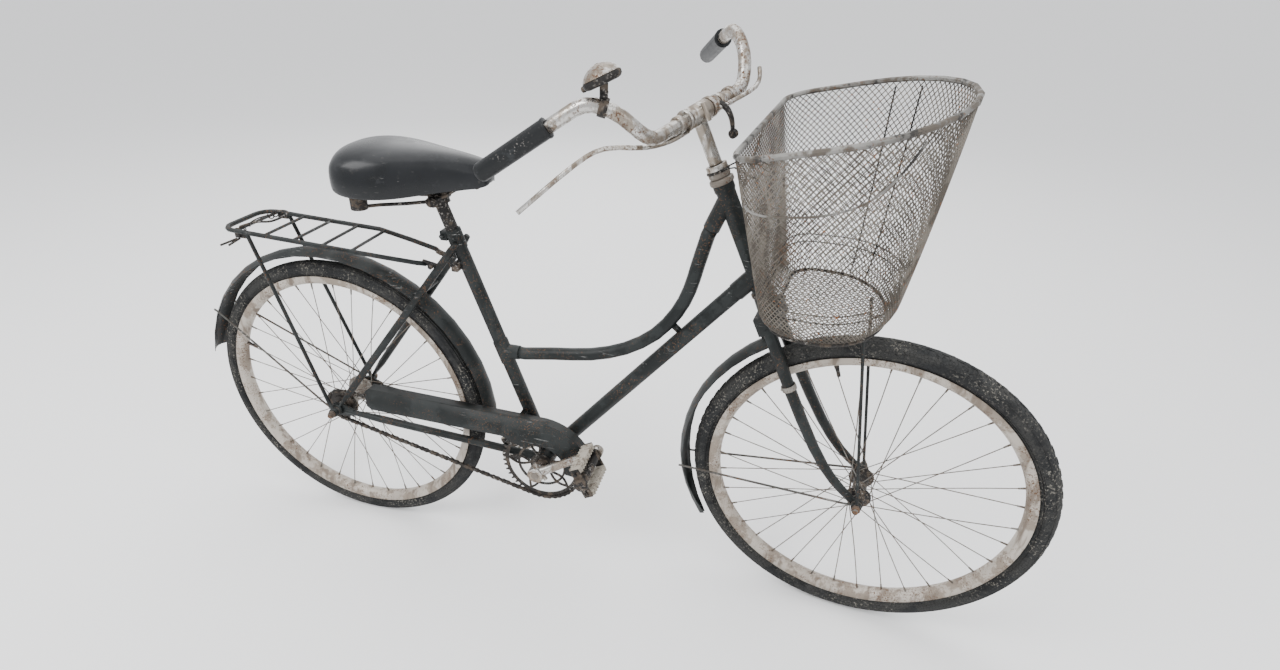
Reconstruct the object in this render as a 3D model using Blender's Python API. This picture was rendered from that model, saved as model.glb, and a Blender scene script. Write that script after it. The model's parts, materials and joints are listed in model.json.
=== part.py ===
"""A weathered step-through roadster bicycle with a front basket, at its real size.

Metres, +X forward, +Y to the rider's left, +Z up. The origin is on top of the saddle, where a rider
holds it up. Places are worked out on the ground frame (origin under the rear axle) and the root empty
lowers them, so that the saddle's top comes to the origin.
"""

import bmesh
import bpy
from math import atan2, cos, pi, radians, sin, sqrt
from mathutils import Matrix, Vector

# Clearances
GAP = 0.0003  # between pieces that touch
PIN_GAP = 0.0004  # round a pin or axle
RUNNING_GAP = 0.006  # between a moving piece and its neighbours

# Wheels
BEAD_RADIUS = 0.295  # 26 x 1 3/8 rim
RIM_EDGE_RADIUS = 0.301
RIM_HALF_WIDTH = 0.015
RIM_LIP = 0.0022
RIM_DEPTH = 0.0205
REAR_TYRE_HEIGHT = 0.031
REAR_TYRE_HALF_WIDTH = 0.018
FRONT_TYRE_HEIGHT = 0.035
FRONT_TYRE_HALF_WIDTH = 0.0225
WHEEL_STEPS = 40
SPOKES = 36
SPOKE_RADIUS = 0.0010
AXLE_RADIUS = 0.0047
NUT_WIDTH = 0.0085
NUT_HEIGHT = 0.008

# Frame
WHEELBASE = 1.135
BRACKET_X = 0.482
BRACKET_Z = 0.270
BRACKET_HALF_WIDTH = 0.034
BRACKET_RADIUS = 0.021
HEAD_ANGLE = radians(64.0)
FORK_RAKE = 0.048
HEAD_BOTTOM = 0.452  # along the steering axis, from the foot of the fork rake
HEAD_LENGTH = 0.200
HEAD_TUBE_RADIUS = 0.0165
DOWN_TUBE_RADIUS = 0.0155
SEAT_TUBE_RADIUS = 0.0143
SEAT_TUBE_LENGTH = 0.530
SEAT_ANGLE = radians(69.8)
LOOP_TUBE_RADIUS = 0.0130
STRUT_RADIUS = 0.0065
LUG_WALL = 0.0018
STAY_RADIUS = 0.0080
CHAIN_STAY_RADIUS = 0.0088
DROPOUT_INSIDE = 0.0580  # half the rear spacing
DROPOUT_THICKNESS = 0.0050
STAY_EYE_THICKNESS = 0.0046
STAY_BAR_RADIUS = 0.0022
RACK_LEG_RADIUS = 0.0042

# Seat
POST_RADIUS = 0.0125
POST_INSERTION = 0.070
SADDLE_LENGTH = 0.300
SADDLE_REAR_X = 0.092
SADDLE_TOP_Z = 0.925
SADDLE_SKIRT = 0.062
SADDLE_HALF_WIDTH = 0.108

# Drive
CHAIN_PITCH = 0.0127
RING_TEETH = 44
COG_TEETH = 18
CHAIN_LINE = 0.044
CHAIN_WIDTH = 0.0080
CHAIN_HEIGHT = 0.0085
RING_THICKNESS = 0.0030
SPINDLE_RADIUS = 0.0080
CRANK_LENGTH = 0.160
CRANK_ANGLE = radians(33.0)
CRANK_OFFSET = 0.0760  # middle of the crank arm, from the centre plane
PEDAL_LENGTH = 0.094
PEDAL_WIDTH = 0.066
PEDAL_PIN_RADIUS = 0.0062

# Steering
STEERER_RADIUS = 0.0127
STEER_REST = radians(-8.2)  # turned to the right, as it stands
BAR_TWIST = radians(-20.8)  # the bar sits askew in its stem
FORK_INSIDE = 0.0480
BLADE_RADIUS = 0.0115
BLADE_TIP_RADIUS = 0.0070
STEM_HEIGHT = 0.770
STEM_RADIUS = 0.0111
BAR_RADIUS = 0.0110
GRIP_RADIUS = 0.0155
SPINDLE_GAP = 0.0006

# Basket
BASKET_FLOOR_Z = 0.712
BASKET_RIM_Z = 0.998  # at its rear edge
BASKET_FLOOR_REAR_X = 0.9165
BASKET_RIM_REAR_X = 0.860
BASKET_FLOOR_LENGTH = 0.200
BASKET_RIM_LENGTH = 0.300
BASKET_FLOOR_HALF_WIDTH = 0.150
BASKET_RIM_HALF_WIDTH = 0.215
BASKET_CORNER = 0.045
BASKET_FLOOR_INSET = 0.014  # of the floor inside the foot of the wall
BASKET_WALL = 0.0025
BASKET_RIM_RADIUS = 0.0045
BASKET_COLUMNS = 24  # openings round the wall
BASKET_BAR = 0.15  # share of a column that its upright bar takes
BASKET_ROWS = [  # (level of the row's foot, level of its head)
    (0.020, 0.100), (0.140, 0.286), (0.306, 0.452), (0.472, 0.618), (0.638, 0.784), (0.804, 0.950)]
BASKET_BACK_ROWS = (3, 4)  # left whole behind, where the bracket meets the wall
BASKET_FLOOR_OPENING = (0.80, 0.45)  # shares of the floor's outline that its openings lie between
BASKET_TILT = radians(13.0)
STRUT_ROD_RADIUS = 0.0028

# Guards and rack
GUARD_THICKNESS = 0.0012
GUARD_HALF_WIDTH = 0.0255
GUARD_DROP = 0.012
REAR_GUARD_RADIUS = 0.362
FRONT_GUARD_RADIUS = 0.368
CHAIN_GUARD_Y = -0.0560
CHAIN_GUARD_THICKNESS = 0.0012
CHAIN_GUARD_OUTER = 0.118
CHAIN_GUARD_INNER = 0.058
CHAIN_GUARD_ARM = 0.055
CHAIN_GUARD_REAR_X = 0.074
RACK_RADIUS = 0.0050
RACK_BAR_RADIUS = 0.0030
RACK_REAR_X = -0.185
RACK_FRONT_X = 0.236
RACK_HALF_WIDTH = 0.065
RACK_Z = 0.735
RACK_LEG_X = -0.125

X, Y, Z = Vector((1, 0, 0)), Vector((0, 1, 0)), Vector((0, 0, 1))

REAR_RADIUS = RIM_EDGE_RADIUS + REAR_TYRE_HEIGHT
FRONT_RADIUS = RIM_EDGE_RADIUS + FRONT_TYRE_HEIGHT
REAR_AXLE = Vector((0, 0, REAR_RADIUS))
BRACKET = Vector((BRACKET_X, 0, BRACKET_Z))
HEAD_AXIS = Vector((-cos(HEAD_ANGLE), 0, sin(HEAD_ANGLE)))
RAKE_AXIS = Vector((sin(HEAD_ANGLE), 0, cos(HEAD_ANGLE)))
FRONT_AXLE = Vector((WHEELBASE, 0, FRONT_RADIUS))
HEAD_FOOT = FRONT_AXLE - RAKE_AXIS * FORK_RAKE
SEAT_AXIS = Vector((-cos(SEAT_ANGLE), 0, sin(SEAT_ANGLE)))
RING_RADIUS = CHAIN_PITCH * RING_TEETH / (2 * pi)
COG_RADIUS = CHAIN_PITCH * COG_TEETH / (2 * pi)
SADDLE_MIDDLE_X = SADDLE_REAR_X + SADDLE_LENGTH / 2
RIDER = Vector((SADDLE_MIDDLE_X, 0, SADDLE_TOP_Z))

FINISHES = {
    # name: (colour, roughness, metallic)
    "black_paint": ((0.030, 0.036, 0.036), 0.45, 0.3),
    "worn_chrome": ((0.52, 0.49, 0.44), 0.35, 1.0),
    "rusty_steel": ((0.22, 0.16, 0.12), 0.75, 0.6),
    "dull_steel": ((0.42, 0.39, 0.35), 0.50, 0.9),
    "tyre": ((0.025, 0.026, 0.026), 0.85, 0.0),
    "grip_rubber": ((0.020, 0.021, 0.022), 0.60, 0.0),
    "saddle_cover": ((0.022, 0.023, 0.024), 0.35, 0.0),
    "mesh_steel": ((0.36, 0.33, 0.28), 0.55, 0.8),
    "dark_grease": ((0.040, 0.034, 0.030), 0.70, 0.5),
}


# Scene and materials

for old in list(bpy.data.objects):
    bpy.data.objects.remove(old, do_unlink=True)


def material_of(name, finish):
    colour, roughness, metallic = FINISHES[finish]
    material = bpy.data.materials.new(name)
    material.use_nodes = True
    shader = material.node_tree.nodes["Principled BSDF"]
    shader.inputs["Base Color"].default_value = (*colour, 1)
    shader.inputs["Roughness"].default_value = roughness
    shader.inputs["Metallic"].default_value = metallic
    return material


def empty(name, matrix):
    pivot = bpy.data.objects.new(name, None)
    bpy.context.scene.collection.objects.link(pivot)
    pivot.matrix_world = matrix
    return pivot


def object_of(name, shape, pivot):
    """An object from a shape given in ground coordinates, its origin at its pivot."""
    mesh = bpy.data.meshes.new(name)
    shape.transform(pivot["straight"].inverted())
    shape.to_mesh(mesh)
    shape.free()
    thing = bpy.data.objects.new(name, mesh)
    bpy.context.scene.collection.objects.link(thing)
    thing.parent = pivot["empty"]
    return thing


def joined(shapes):
    whole = bmesh.new()
    for shape in shapes:
        mesh = bpy.data.meshes.new("loose")
        shape.to_mesh(mesh)
        shape.free()
        whole.from_mesh(mesh)
        bpy.data.meshes.remove(mesh)
    return whole


def part(name, finish, pivot, shapes, cuts=()):
    """One named node: the first shape, with the others united to it and the cuts taken out."""
    thing = object_of(name, shapes[0], pivot)
    for operation, others in (("UNION", shapes[1:]), ("DIFFERENCE", cuts)):
        if not others:
            continue
        helper = object_of(f"{name}_{operation.lower()}", joined(others), pivot)
        helper.hide_render = True
        helper.display_type = "WIRE"
        boolean = thing.modifiers.new(operation.title(), "BOOLEAN")
        boolean.operation = operation
        boolean.solver = "EXACT"
        boolean.use_self = len(others) > 1
        boolean.object = helper
    thing.data.materials.append(material_of(name, finish))
    thing.data.shade_smooth()
    thing.data.set_sharp_from_angle(angle=radians(35))
    return thing


# Shapes


def frame_across(direction):
    """Two unit vectors across a direction; the second lies as near to level as it can."""
    direction = direction.normalized()
    side = direction.cross(Z)
    if side.length < 1e-4:
        side = Y.copy()
    side.normalize()
    return side, side.cross(direction).normalized()


def skinned(rings, closed=False):
    """A closed solid through rings of points, capped at both ends unless the rings close on themselves."""
    shape = bmesh.new()
    rows = [[shape.verts.new(point) for point in ring] for ring in rings]
    count = len(rows[0])
    pairs = list(zip(rows, rows[1:]))
    if closed:
        pairs.append((rows[-1], rows[0]))
    for a, b in pairs:
        for i in range(count):
            j = (i + 1) % count
            shape.faces.new((a[i], a[j], b[j], b[i]))
    if not closed:
        shape.faces.new(rows[0][::-1])
        shape.faces.new(rows[-1])
    bmesh.ops.recalc_face_normals(shape, faces=shape.faces)
    return shape


def tube(path, radius, sides=12, flat=1.0, closed=False):
    """A round rod along a path. radius is one value or one for each point; flat narrows it sideways."""
    path = [Vector(point) for point in path]
    count = len(path)
    radii = radius if isinstance(radius, (list, tuple)) else [radius] * count
    tangents = []
    for i in range(count):
        before = path[i - 1] if i or closed else path[i]
        after = path[(i + 1) % count] if i < count - 1 or closed else path[i]
        tangents.append((after - before).normalized())
    side, up = frame_across(tangents[0])
    rings = []
    for i, point in enumerate(path):
        if i:
            turn = tangents[i - 1].rotation_difference(tangents[i])
            side = turn @ side
            up = turn @ up
        rings.append(
            [
                point + (side * cos(a) * flat + up * sin(a)) * radii[i]
                for a in (2 * pi * k / sides for k in range(sides))
            ]
        )
    return skinned(rings, closed)


def curve(points, steps=4):
    """A smooth path through the points."""
    points = [Vector(p) for p in points]
    ends = [2 * points[0] - points[1], *points, 2 * points[-1] - points[-2]]
    path = []
    for a, b, c, d in zip(ends, ends[1:], ends[2:], ends[3:]):
        for k in range(steps):
            t = k / steps
            path.append(
                0.5 * (2 * b + (c - a) * t + (2 * a - 5 * b + 4 * c - d) * t**2 + (3 * b - a - 3 * c + d) * t**3)
            )
    return path + [points[-1]]


def rod(a, b, radius, sides=10, end_radius=None, flat=1.0):
    return tube([a, b], [radius, radius if end_radius is None else end_radius], sides, flat)


def turned(profile, origin, axis, steps=16):
    """A solid of revolution. The profile lists (radius, height), from one end face to the other."""
    side, up = frame_across(axis)
    axis = axis.normalized()
    rings = []
    for radius, height in profile:
        centre = origin + axis * height
        rings.append(
            [
                centre + (side * cos(a) + up * sin(a)) * radius
                for a in (2 * pi * k / steps for k in range(steps))
            ]
        )
    return skinned(rings)


def ring_of(profile, origin, axis, steps=WHEEL_STEPS):
    """A ring: the closed profile lists (radius, height) round its section."""
    side, up = frame_across(axis)
    axis = axis.normalized()
    rings = []
    for k in range(steps):
        a = 2 * pi * k / steps
        out = side * cos(a) + up * sin(a)
        rings.append([origin + out * radius + axis * height for radius, height in profile])
    return skinned(rings, closed=True)


def washer(origin, axis, inner, outer, thickness, steps=16):
    """A flat ring that starts at origin and is thick along the axis."""
    return ring_of([(inner, 0), (outer, 0), (outer, thickness), (inner, thickness)], origin, axis, steps)


def plate(outline, origin, u, v, thickness):
    """A flat plate: outline points (u, v) from origin, thick along u x v."""
    w = u.cross(v).normalized() * thickness
    base = [origin + u * a + v * b for a, b in outline]
    return skinned([base, [p + w for p in base]])


def box(centre, u, v, w, sizes):
    a, b, c = (size / 2 for size in sizes)
    return plate([(-a, -b), (a, -b), (a, b), (-a, b)], centre - u.cross(v).normalized() * c, u, v, 2 * c)


def arc(centre, radius, start, end, steps):
    """Points (u, v) on an arc from start to end, in radians."""
    angles = [start + (end - start) * k / steps for k in range(steps + 1)]
    return [(centre[0] + radius * cos(a), centre[1] + radius * sin(a)) for a in angles]


def hexagon(origin, axis, height, half_width=NUT_WIDTH):
    return turned([(half_width, 0), (half_width, height)], origin, axis, 6)


# Places on the steering assembly, straight ahead


def head(t, f=0.0, y=0.0):
    """A point t up the steering axis, f ahead of it and y to the left."""
    return HEAD_FOOT + HEAD_AXIS * t + RAKE_AXIS * f + Y * y


def bar_place(f, y, t):
    """A point from the middle of the handlebar, whose clamp is twisted on the steering axis."""
    forward = f * cos(BAR_TWIST) - y * sin(BAR_TWIST)
    left = f * sin(BAR_TWIST) + y * cos(BAR_TWIST)
    return head(STEM_HEIGHT + t, forward, left)


ROOT_PLACE = Matrix.Translation(-RIDER)
root = empty("bicycle", ROOT_PLACE)


def pivot_at(name, point, parent, turn=None):
    """An empty at a point of the ground frame, under its parent's pivot."""
    straight = Matrix.Translation(point)
    pivot = bpy.data.objects.new(name, None)
    bpy.context.scene.collection.objects.link(pivot)
    pivot.parent = parent["empty"]
    pivot.matrix_local = parent["straight"].inverted() @ straight @ (turn or Matrix.Identity(4))
    return {"empty": pivot, "straight": straight}


FRAME = {"empty": root, "straight": Matrix.Identity(4)}
STEERING = pivot_at("steering_pivot", head(HEAD_BOTTOM), FRAME, Matrix.Rotation(STEER_REST, 4, HEAD_AXIS))
FRONT_WHEEL = pivot_at("front_wheel_pivot", FRONT_AXLE, STEERING)
REAR_WHEEL = pivot_at("rear_wheel_pivot", REAR_AXLE, FRAME)
CRANK = pivot_at("crank_pivot", BRACKET, FRAME)
CRANK_AXIS = Vector((cos(CRANK_ANGLE), 0, sin(CRANK_ANGLE)))
PEDALS = {
    side: pivot_at(f"pedal_{name}_pivot", BRACKET + CRANK_AXIS * (-side * CRANK_LENGTH), CRANK)
    for side, name in ((-1, "right"), (1, "left"))
}


# Frame tubes

LOWER_LUG = head(HEAD_BOTTOM + 0.030)
UPPER_LUG = head(HEAD_BOTTOM + HEAD_LENGTH - 0.024)
LOWER_LUG_LENGTH = 0.048
UPPER_LUG_LENGTH = 0.062
BRACKET_LUG_LENGTH = 0.050
LOOP_FOOT_HEIGHT = 0.262  # of the loop tube's end, along the seat tube
STAY_TOP_HEIGHT = 0.498  # of the seat stays' ends, along the seat tube
SEAT_TOP = BRACKET + SEAT_AXIS * SEAT_TUBE_LENGTH
DOWN_AXIS = (BRACKET - LOWER_LUG).normalized()
LOOP_FOOT = BRACKET + SEAT_AXIS * LOOP_FOOT_HEIGHT
LOOP_TOP = Vector((0.786, 0, 0.800))
LOOP_AXIS = (LOOP_TOP - UPPER_LUG).normalized()
LOOP_BEND = [(0.777, 0, 0.753), (0.766, 0, 0.703), (0.746, 0, 0.655), (0.708, 0, 0.604), (0.650, 0, 0.563),
             (0.580, 0, 0.538), (0.500, 0, 0.526)]
LOOP_SOCKET = LOOP_FOOT + X * 0.034
STRUT_TOP = Vector((0.734, 0, 0.634))


def bracket_stay_start(side):
    return BRACKET + Y * side * 0.0205 - X * 0.004


def dropout_end(side):
    return REAR_AXLE + Y * side * (DROPOUT_INSIDE + DROPOUT_THICKNESS / 2)


def lug(centre, axis, radius, length, sides=16):
    return rod(centre, centre + axis * length, radius + LUG_WALL, sides)


def head_tube():
    start = head(HEAD_BOTTOM)
    wall = HEAD_TUBE_RADIUS
    ends = wall + LUG_WALL
    body = turned(
        [(ends, 0), (ends, 0.010), (wall, 0.014), (wall, HEAD_LENGTH - 0.014), (ends, HEAD_LENGTH - 0.010),
         (ends, HEAD_LENGTH)],
        start,
        HEAD_AXIS,
    )
    bore = rod(start - HEAD_AXIS * 0.01, start + HEAD_AXIS * (HEAD_LENGTH + 0.01), STEERER_RADIUS + 0.0010, 16)
    return part(
        "head_tube",
        "black_paint",
        FRAME,
        [body, lug(LOWER_LUG, DOWN_AXIS, DOWN_TUBE_RADIUS, LOWER_LUG_LENGTH),
         lug(UPPER_LUG, LOOP_AXIS, LOOP_TUBE_RADIUS, UPPER_LUG_LENGTH)],
        [bore],
    )


def headset_cups():
    for name, t, height in (("headset_lower_cup", HEAD_BOTTOM - 0.0103, 0.010),
                            ("headset_upper_cup", HEAD_BOTTOM + HEAD_LENGTH + GAP, 0.010)):
        inner = STEERER_RADIUS + 0.0010
        part(name, "dull_steel", FRAME,
             [ring_of([(inner, 0), (0.0195, 0), (0.0212, 0.003), (0.0212, height - 0.002), (0.0190, height),
                       (inner, height)], head(t), HEAD_AXIS, 16)])


def down_tube():
    start = LOWER_LUG + DOWN_AXIS * (LOWER_LUG_LENGTH + GAP)
    end = BRACKET - DOWN_AXIS * (BRACKET_LUG_LENGTH + GAP)
    part("down_tube", "black_paint", FRAME, [rod(start, end, DOWN_TUBE_RADIUS, 16)])


def loop_tube():
    start = UPPER_LUG + LOOP_AXIS * (UPPER_LUG_LENGTH + GAP)
    end = LOOP_SOCKET + X * GAP
    path = [start, *curve([start + LOOP_AXIS * 0.012, *LOOP_BEND, end + X * 0.012], 2), end]
    part("loop_tube", "black_paint", FRAME, [tube(path, LOOP_TUBE_RADIUS, 12)])


def frame_strut():
    """A short strut from the loop tube to the down tube, set square to the down tube."""
    foot = LOWER_LUG + DOWN_AXIS * (STRUT_TOP - LOWER_LUG).dot(DOWN_AXIS)
    across = (foot - STRUT_TOP).normalized()
    start = STRUT_TOP + across * 0.004
    end = foot - across * 0.008
    part(
        "frame_strut",
        "black_paint",
        FRAME,
        [rod(start, end, STRUT_RADIUS)],
        [tube(curve(LOOP_BEND, 2), LOOP_TUBE_RADIUS + GAP, 12),
         rod(LOWER_LUG, BRACKET, DOWN_TUBE_RADIUS + GAP, 32)],
    )


def seat_tube():
    start = BRACKET + SEAT_AXIS * (BRACKET_LUG_LENGTH + GAP)
    body = rod(start, SEAT_TOP, SEAT_TUBE_RADIUS, 16)
    collar = rod(SEAT_TOP - SEAT_AXIS * 0.040, SEAT_TOP - SEAT_AXIS * 0.001, SEAT_TUBE_RADIUS + LUG_WALL, 16)
    band_radius = SEAT_TUBE_RADIUS + LUG_WALL
    band = rod(LOOP_FOOT - SEAT_AXIS * 0.024, LOOP_FOOT + SEAT_AXIS * 0.024, band_radius, 16)
    socket = rod(LOOP_FOOT, LOOP_SOCKET, LOOP_TUBE_RADIUS + LUG_WALL, 16)
    ears = box(SEAT_TOP - SEAT_AXIS * 0.014 - X * 0.020, X, Y, Z, (0.014, 0.020, 0.018))
    bolt = rod(SEAT_TOP - SEAT_AXIS * 0.014 - X * 0.022 - Y * 0.016,
               SEAT_TOP - SEAT_AXIS * 0.014 - X * 0.022 + Y * 0.016, 0.0045, 8)
    bore = rod(SEAT_TOP - SEAT_AXIS * (POST_INSERTION + 0.001), SEAT_TOP + SEAT_AXIS * 0.01,
               POST_RADIUS + GAP, 16)
    part("seat_tube", "black_paint", FRAME, [body, collar, band, socket, ears, bolt], [bore])


def bottom_bracket():
    shell = turned(
        [(BRACKET_RADIUS - 0.001, -BRACKET_HALF_WIDTH), (BRACKET_RADIUS, 0.001 - BRACKET_HALF_WIDTH),
         (BRACKET_RADIUS, BRACKET_HALF_WIDTH - 0.001), (BRACKET_RADIUS - 0.001, BRACKET_HALF_WIDTH)],
        BRACKET,
        Y,
    )
    shapes = [shell, lug(BRACKET, SEAT_AXIS, SEAT_TUBE_RADIUS, BRACKET_LUG_LENGTH),
              lug(BRACKET, -DOWN_AXIS, DOWN_TUBE_RADIUS, BRACKET_LUG_LENGTH)]
    for side in (-1, 1):
        start = bracket_stay_start(side)
        axis = (stay_foot(side) - start).normalized()
        shapes.append(lug(start, axis, CHAIN_STAY_RADIUS, BRACKET_LUG_LENGTH, 12))
    bore = rod(BRACKET - Y * 0.05, BRACKET + Y * 0.05, SPINDLE_RADIUS + SPINDLE_GAP, 14)
    part("bottom_bracket", "black_paint", FRAME, shapes, [bore])


def stay_foot(side):
    """Where a chain stay's tube meets its dropout."""
    return dropout_end(side) + X * 0.026 - Z * 0.003


def axle_hole(point, side):
    return rod(point - Y * 0.01, point + Y * 0.01, AXLE_RADIUS + PIN_GAP, 12)


def chain_stays():
    for side, name in ((-1, "right"), (1, "left")):
        start = bracket_stay_start(side)
        foot = stay_foot(side)
        axis = (foot - start).normalized()
        begin = start + axis * (BRACKET_LUG_LENGTH + GAP)
        middle = begin.lerp(foot, 0.80)
        stay = tube([begin, middle, foot + axis * 0.006],
                    [CHAIN_STAY_RADIUS, CHAIN_STAY_RADIUS, 0.0050], 12)
        outline = [(0.040, -0.012), (0.040, 0.004), (0.012, 0.016)]
        outline += arc((0, 0), 0.016, radians(75), radians(285), 7)
        # X x Z points to -Y, so the plate grows that way from its left face
        dropout = plate(outline, dropout_end(side) + Y * DROPOUT_THICKNESS / 2, X, Z, DROPOUT_THICKNESS)
        part(f"chain_stay_{name}", "black_paint", FRAME, [stay, dropout], [axle_hole(dropout_end(side), side)])


def seat_stays():
    for side, name in ((-1, "right"), (1, "left")):
        top = BRACKET + SEAT_AXIS * STAY_TOP_HEIGHT + Y * side * (SEAT_TUBE_RADIUS + LUG_WALL + 0.0095)
        face = DROPOUT_INSIDE + DROPOUT_THICKNESS + GAP
        centre = REAR_AXLE + Y * side * (face + DROPOUT_THICKNESS / 2)
        axis = (top - centre).normalized()
        stay = tube([centre + axis * 0.010, centre + axis * 0.080, top - axis * 0.004, top + axis * 0.012],
                    [0.0025, STAY_RADIUS, STAY_RADIUS, 0.0060], 10)
        eye = turned([(0.014, -DROPOUT_THICKNESS / 2), (0.014, DROPOUT_THICKNESS / 2)], centre, Y, 14)
        part(f"seat_stay_{name}", "black_paint", FRAME, [eye, stay],
             [axle_hole(centre, side),
              box(REAR_AXLE + Y * side * (face - 0.010), X, Y, Z, (0.046, 0.020, 0.046)),
              rod(BRACKET, SEAT_TOP, SEAT_TUBE_RADIUS + LUG_WALL + GAP, 20)])


def stay_bridges():
    """Short tubes between the stays, which carry the rear mudguard."""
    for name, centre, reach in (
        ("chain_stay_bridge", BRACKET - X * 0.092 + Z * 0.016, 0.0186),
        ("seat_stay_bridge", REAR_AXLE + (BRACKET + SEAT_AXIS * STAY_TOP_HEIGHT - REAR_AXLE) * 0.762, 0.0262),
    ):
        part(name, "black_paint", FRAME, [rod(centre - Y * reach, centre + Y * reach, 0.0055)])


# Seat


def seat_post():
    bottom = SEAT_TOP - SEAT_AXIS * POST_INSERTION
    top = SEAT_TOP + SEAT_AXIS * 0.078
    part("seat_post", "rusty_steel", FRAME, [rod(bottom, top, POST_RADIUS, 16)])
    return top


def saddle(post_top):
    """The clip on the post, two rails and two springs, and above them the padded cushion."""
    clip = post_top - SEAT_AXIS * 0.016
    shapes = [turned([(0.019, -0.013), (0.019, 0.013)], clip, SEAT_AXIS, 16)]
    shapes.append(rod(clip - Y * 0.034, clip + Y * 0.034, 0.0095, 12))
    floor_z = SADDLE_TOP_Z - SADDLE_SKIRT
    for side in (-1, 1):
        shapes.append(tube(curve([
            (SADDLE_REAR_X + SADDLE_LENGTH * 0.92, side * 0.012, floor_z - 0.006),
            (SADDLE_REAR_X + SADDLE_LENGTH * 0.78, side * 0.020, floor_z - 0.012),
            (clip.x, side * 0.024, clip.z),
            (SADDLE_REAR_X + 0.085, side * 0.040, clip.z - 0.012),
            (SADDLE_REAR_X + 0.052, side * 0.060, clip.z - 0.014),
        ], 2), 0.0035, 6))
        foot = Vector((SADDLE_REAR_X + 0.052, side * 0.060, clip.z - 0.017))
        shapes.append(turned([(0.016, 0), (0.016, floor_z - foot.z - GAP)], foot, Z, 12))
    shapes.append(rod(Vector((SADDLE_REAR_X + SADDLE_LENGTH * 0.92, -0.022, floor_z - 0.0042)),
                      Vector((SADDLE_REAR_X + SADDLE_LENGTH * 0.92, 0.022, floor_z - 0.0042)), 0.0038, 8))
    part("saddle_frame", "rusty_steel", FRAME, shapes,
         [rod(post_top - SEAT_AXIS * 0.06, post_top, POST_RADIUS + GAP, 16)])
    # station along the length, half width, top below the highest, skirt bottom below the floor
    stations = (
        (0.000, 0.30, 0.036, 0.000),
        (0.030, 0.72, 0.014, 0.012),
        (0.110, 0.95, 0.004, 0.022),
        (0.240, 1.00, 0.000, 0.026),
        (0.400, 0.90, 0.001, 0.026),
        (0.540, 0.68, 0.004, 0.022),
        (0.680, 0.48, 0.008, 0.016),
        (0.820, 0.37, 0.013, 0.010),
        (0.930, 0.31, 0.019, 0.006),
        (0.985, 0.20, 0.028, 0.002),
        (1.000, 0.08, 0.036, 0.000),
    )
    rings = []
    for place, width, top_drop, skirt in stations:
        x = SADDLE_REAR_X + SADDLE_LENGTH * place
        half = SADDLE_HALF_WIDTH * width
        top = SADDLE_TOP_Z - top_drop
        low = floor_z - skirt
        rings.append([Vector((x, y * half, z)) for y, z in (
            (0.0, top), (0.40, top - 0.001), (0.72, top - 0.007), (0.93, top * 0.7 + low * 0.3),
            (1.0, top * 0.4 + low * 0.6), (0.97, low), (0.86, low), (0.80, max(low, floor_z)), (0.0, floor_z),
            (-0.80, max(low, floor_z)), (-0.86, low), (-0.97, low), (-1.0, top * 0.4 + low * 0.6),
            (-0.93, top * 0.7 + low * 0.3), (-0.72, top - 0.007), (-0.40, top - 0.001))])
    part("saddle_cushion", "saddle_cover", FRAME, [skinned(rings)])


# Wheels


def rim_section():
    edge, half, lip = RIM_EDGE_RADIUS, RIM_HALF_WIDTH, RIM_LIP
    well = BEAD_RADIUS - 0.0025
    return [(edge, half), (edge, half - lip), (well, half - lip), (well, lip - half), (edge, lip - half),
            (edge, -half), (edge - 0.011, -half), (edge - RIM_DEPTH, -half / 3), (edge - RIM_DEPTH, half / 3),
            (edge - 0.011, half)]


def tyre_section(height, half_width):
    seat = BEAD_RADIUS - 0.0020
    inside = RIM_HALF_WIDTH - RIM_LIP - GAP
    middle = RIM_EDGE_RADIUS + height * 0.44
    crown = RIM_EDGE_RADIUS + height
    right = [(seat, -inside), (RIM_EDGE_RADIUS + GAP, -inside), (middle, -half_width),
             (middle + height * 0.30, -half_width * 0.84), (crown - height * 0.09, -half_width * 0.48)]
    return right + [(crown, 0)] + [(r, -y) for r, y in reversed(right)]


def spokes(axle, flange, flange_radius):
    """The spokes as rods from hub flange to rim, each crossing its neighbours."""
    shapes = []
    for k in range(SPOKES):
        side = 1 if k % 2 else -1
        lean = 1 if k % 4 < 2 else -1
        rim_angle = 2 * pi * k / SPOKES
        hub_angle = rim_angle + lean * radians(62)
        offset = side * (flange + (0.0016 if lean > 0 else -0.0016))
        start = axle + Vector((cos(hub_angle) * flange_radius, offset, sin(hub_angle) * flange_radius))
        end_radius = RIM_EDGE_RADIUS - RIM_DEPTH + 0.002
        end = axle + Vector((cos(rim_angle) * end_radius, side * 0.003, sin(rim_angle) * end_radius))
        shapes.append(rod(start, end, SPOKE_RADIUS, 3))
    return shapes


def wheel(name, pivot, axle, flange, hub_profile, tyre_name, tyre_height, tyre_half_width):
    rim = ring_of(rim_section(), axle, Y)
    hub = turned(hub_profile, axle, Y, 16)
    flange_radius = max(radius for radius, _ in hub_profile) - 0.005
    bore = rod(axle - Y * 0.09, axle + Y * 0.09, AXLE_RADIUS + SPINDLE_GAP, 12)
    part(name, "dull_steel", pivot, [rim, hub, *spokes(axle, flange, flange_radius)], [bore])
    part(tyre_name, "tyre", pivot, [ring_of(tyre_section(tyre_height, tyre_half_width), axle, Y)])


def hub_profile(half_width, flange, flange_radius, barrel_radius):
    """The hub's (radius, height) from one end to the other, with a flange at each side."""
    half = [(0.0085, half_width), (0.0105, flange + 0.006), (0.0150, flange + 0.0016 + 0.002),
            (flange_radius, flange + 0.0026), (flange_radius, flange - 0.0026), (barrel_radius, flange - 0.006)]
    return [(r, -y) for r, y in half] + [(r, y) for r, y in reversed(half)]


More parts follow.
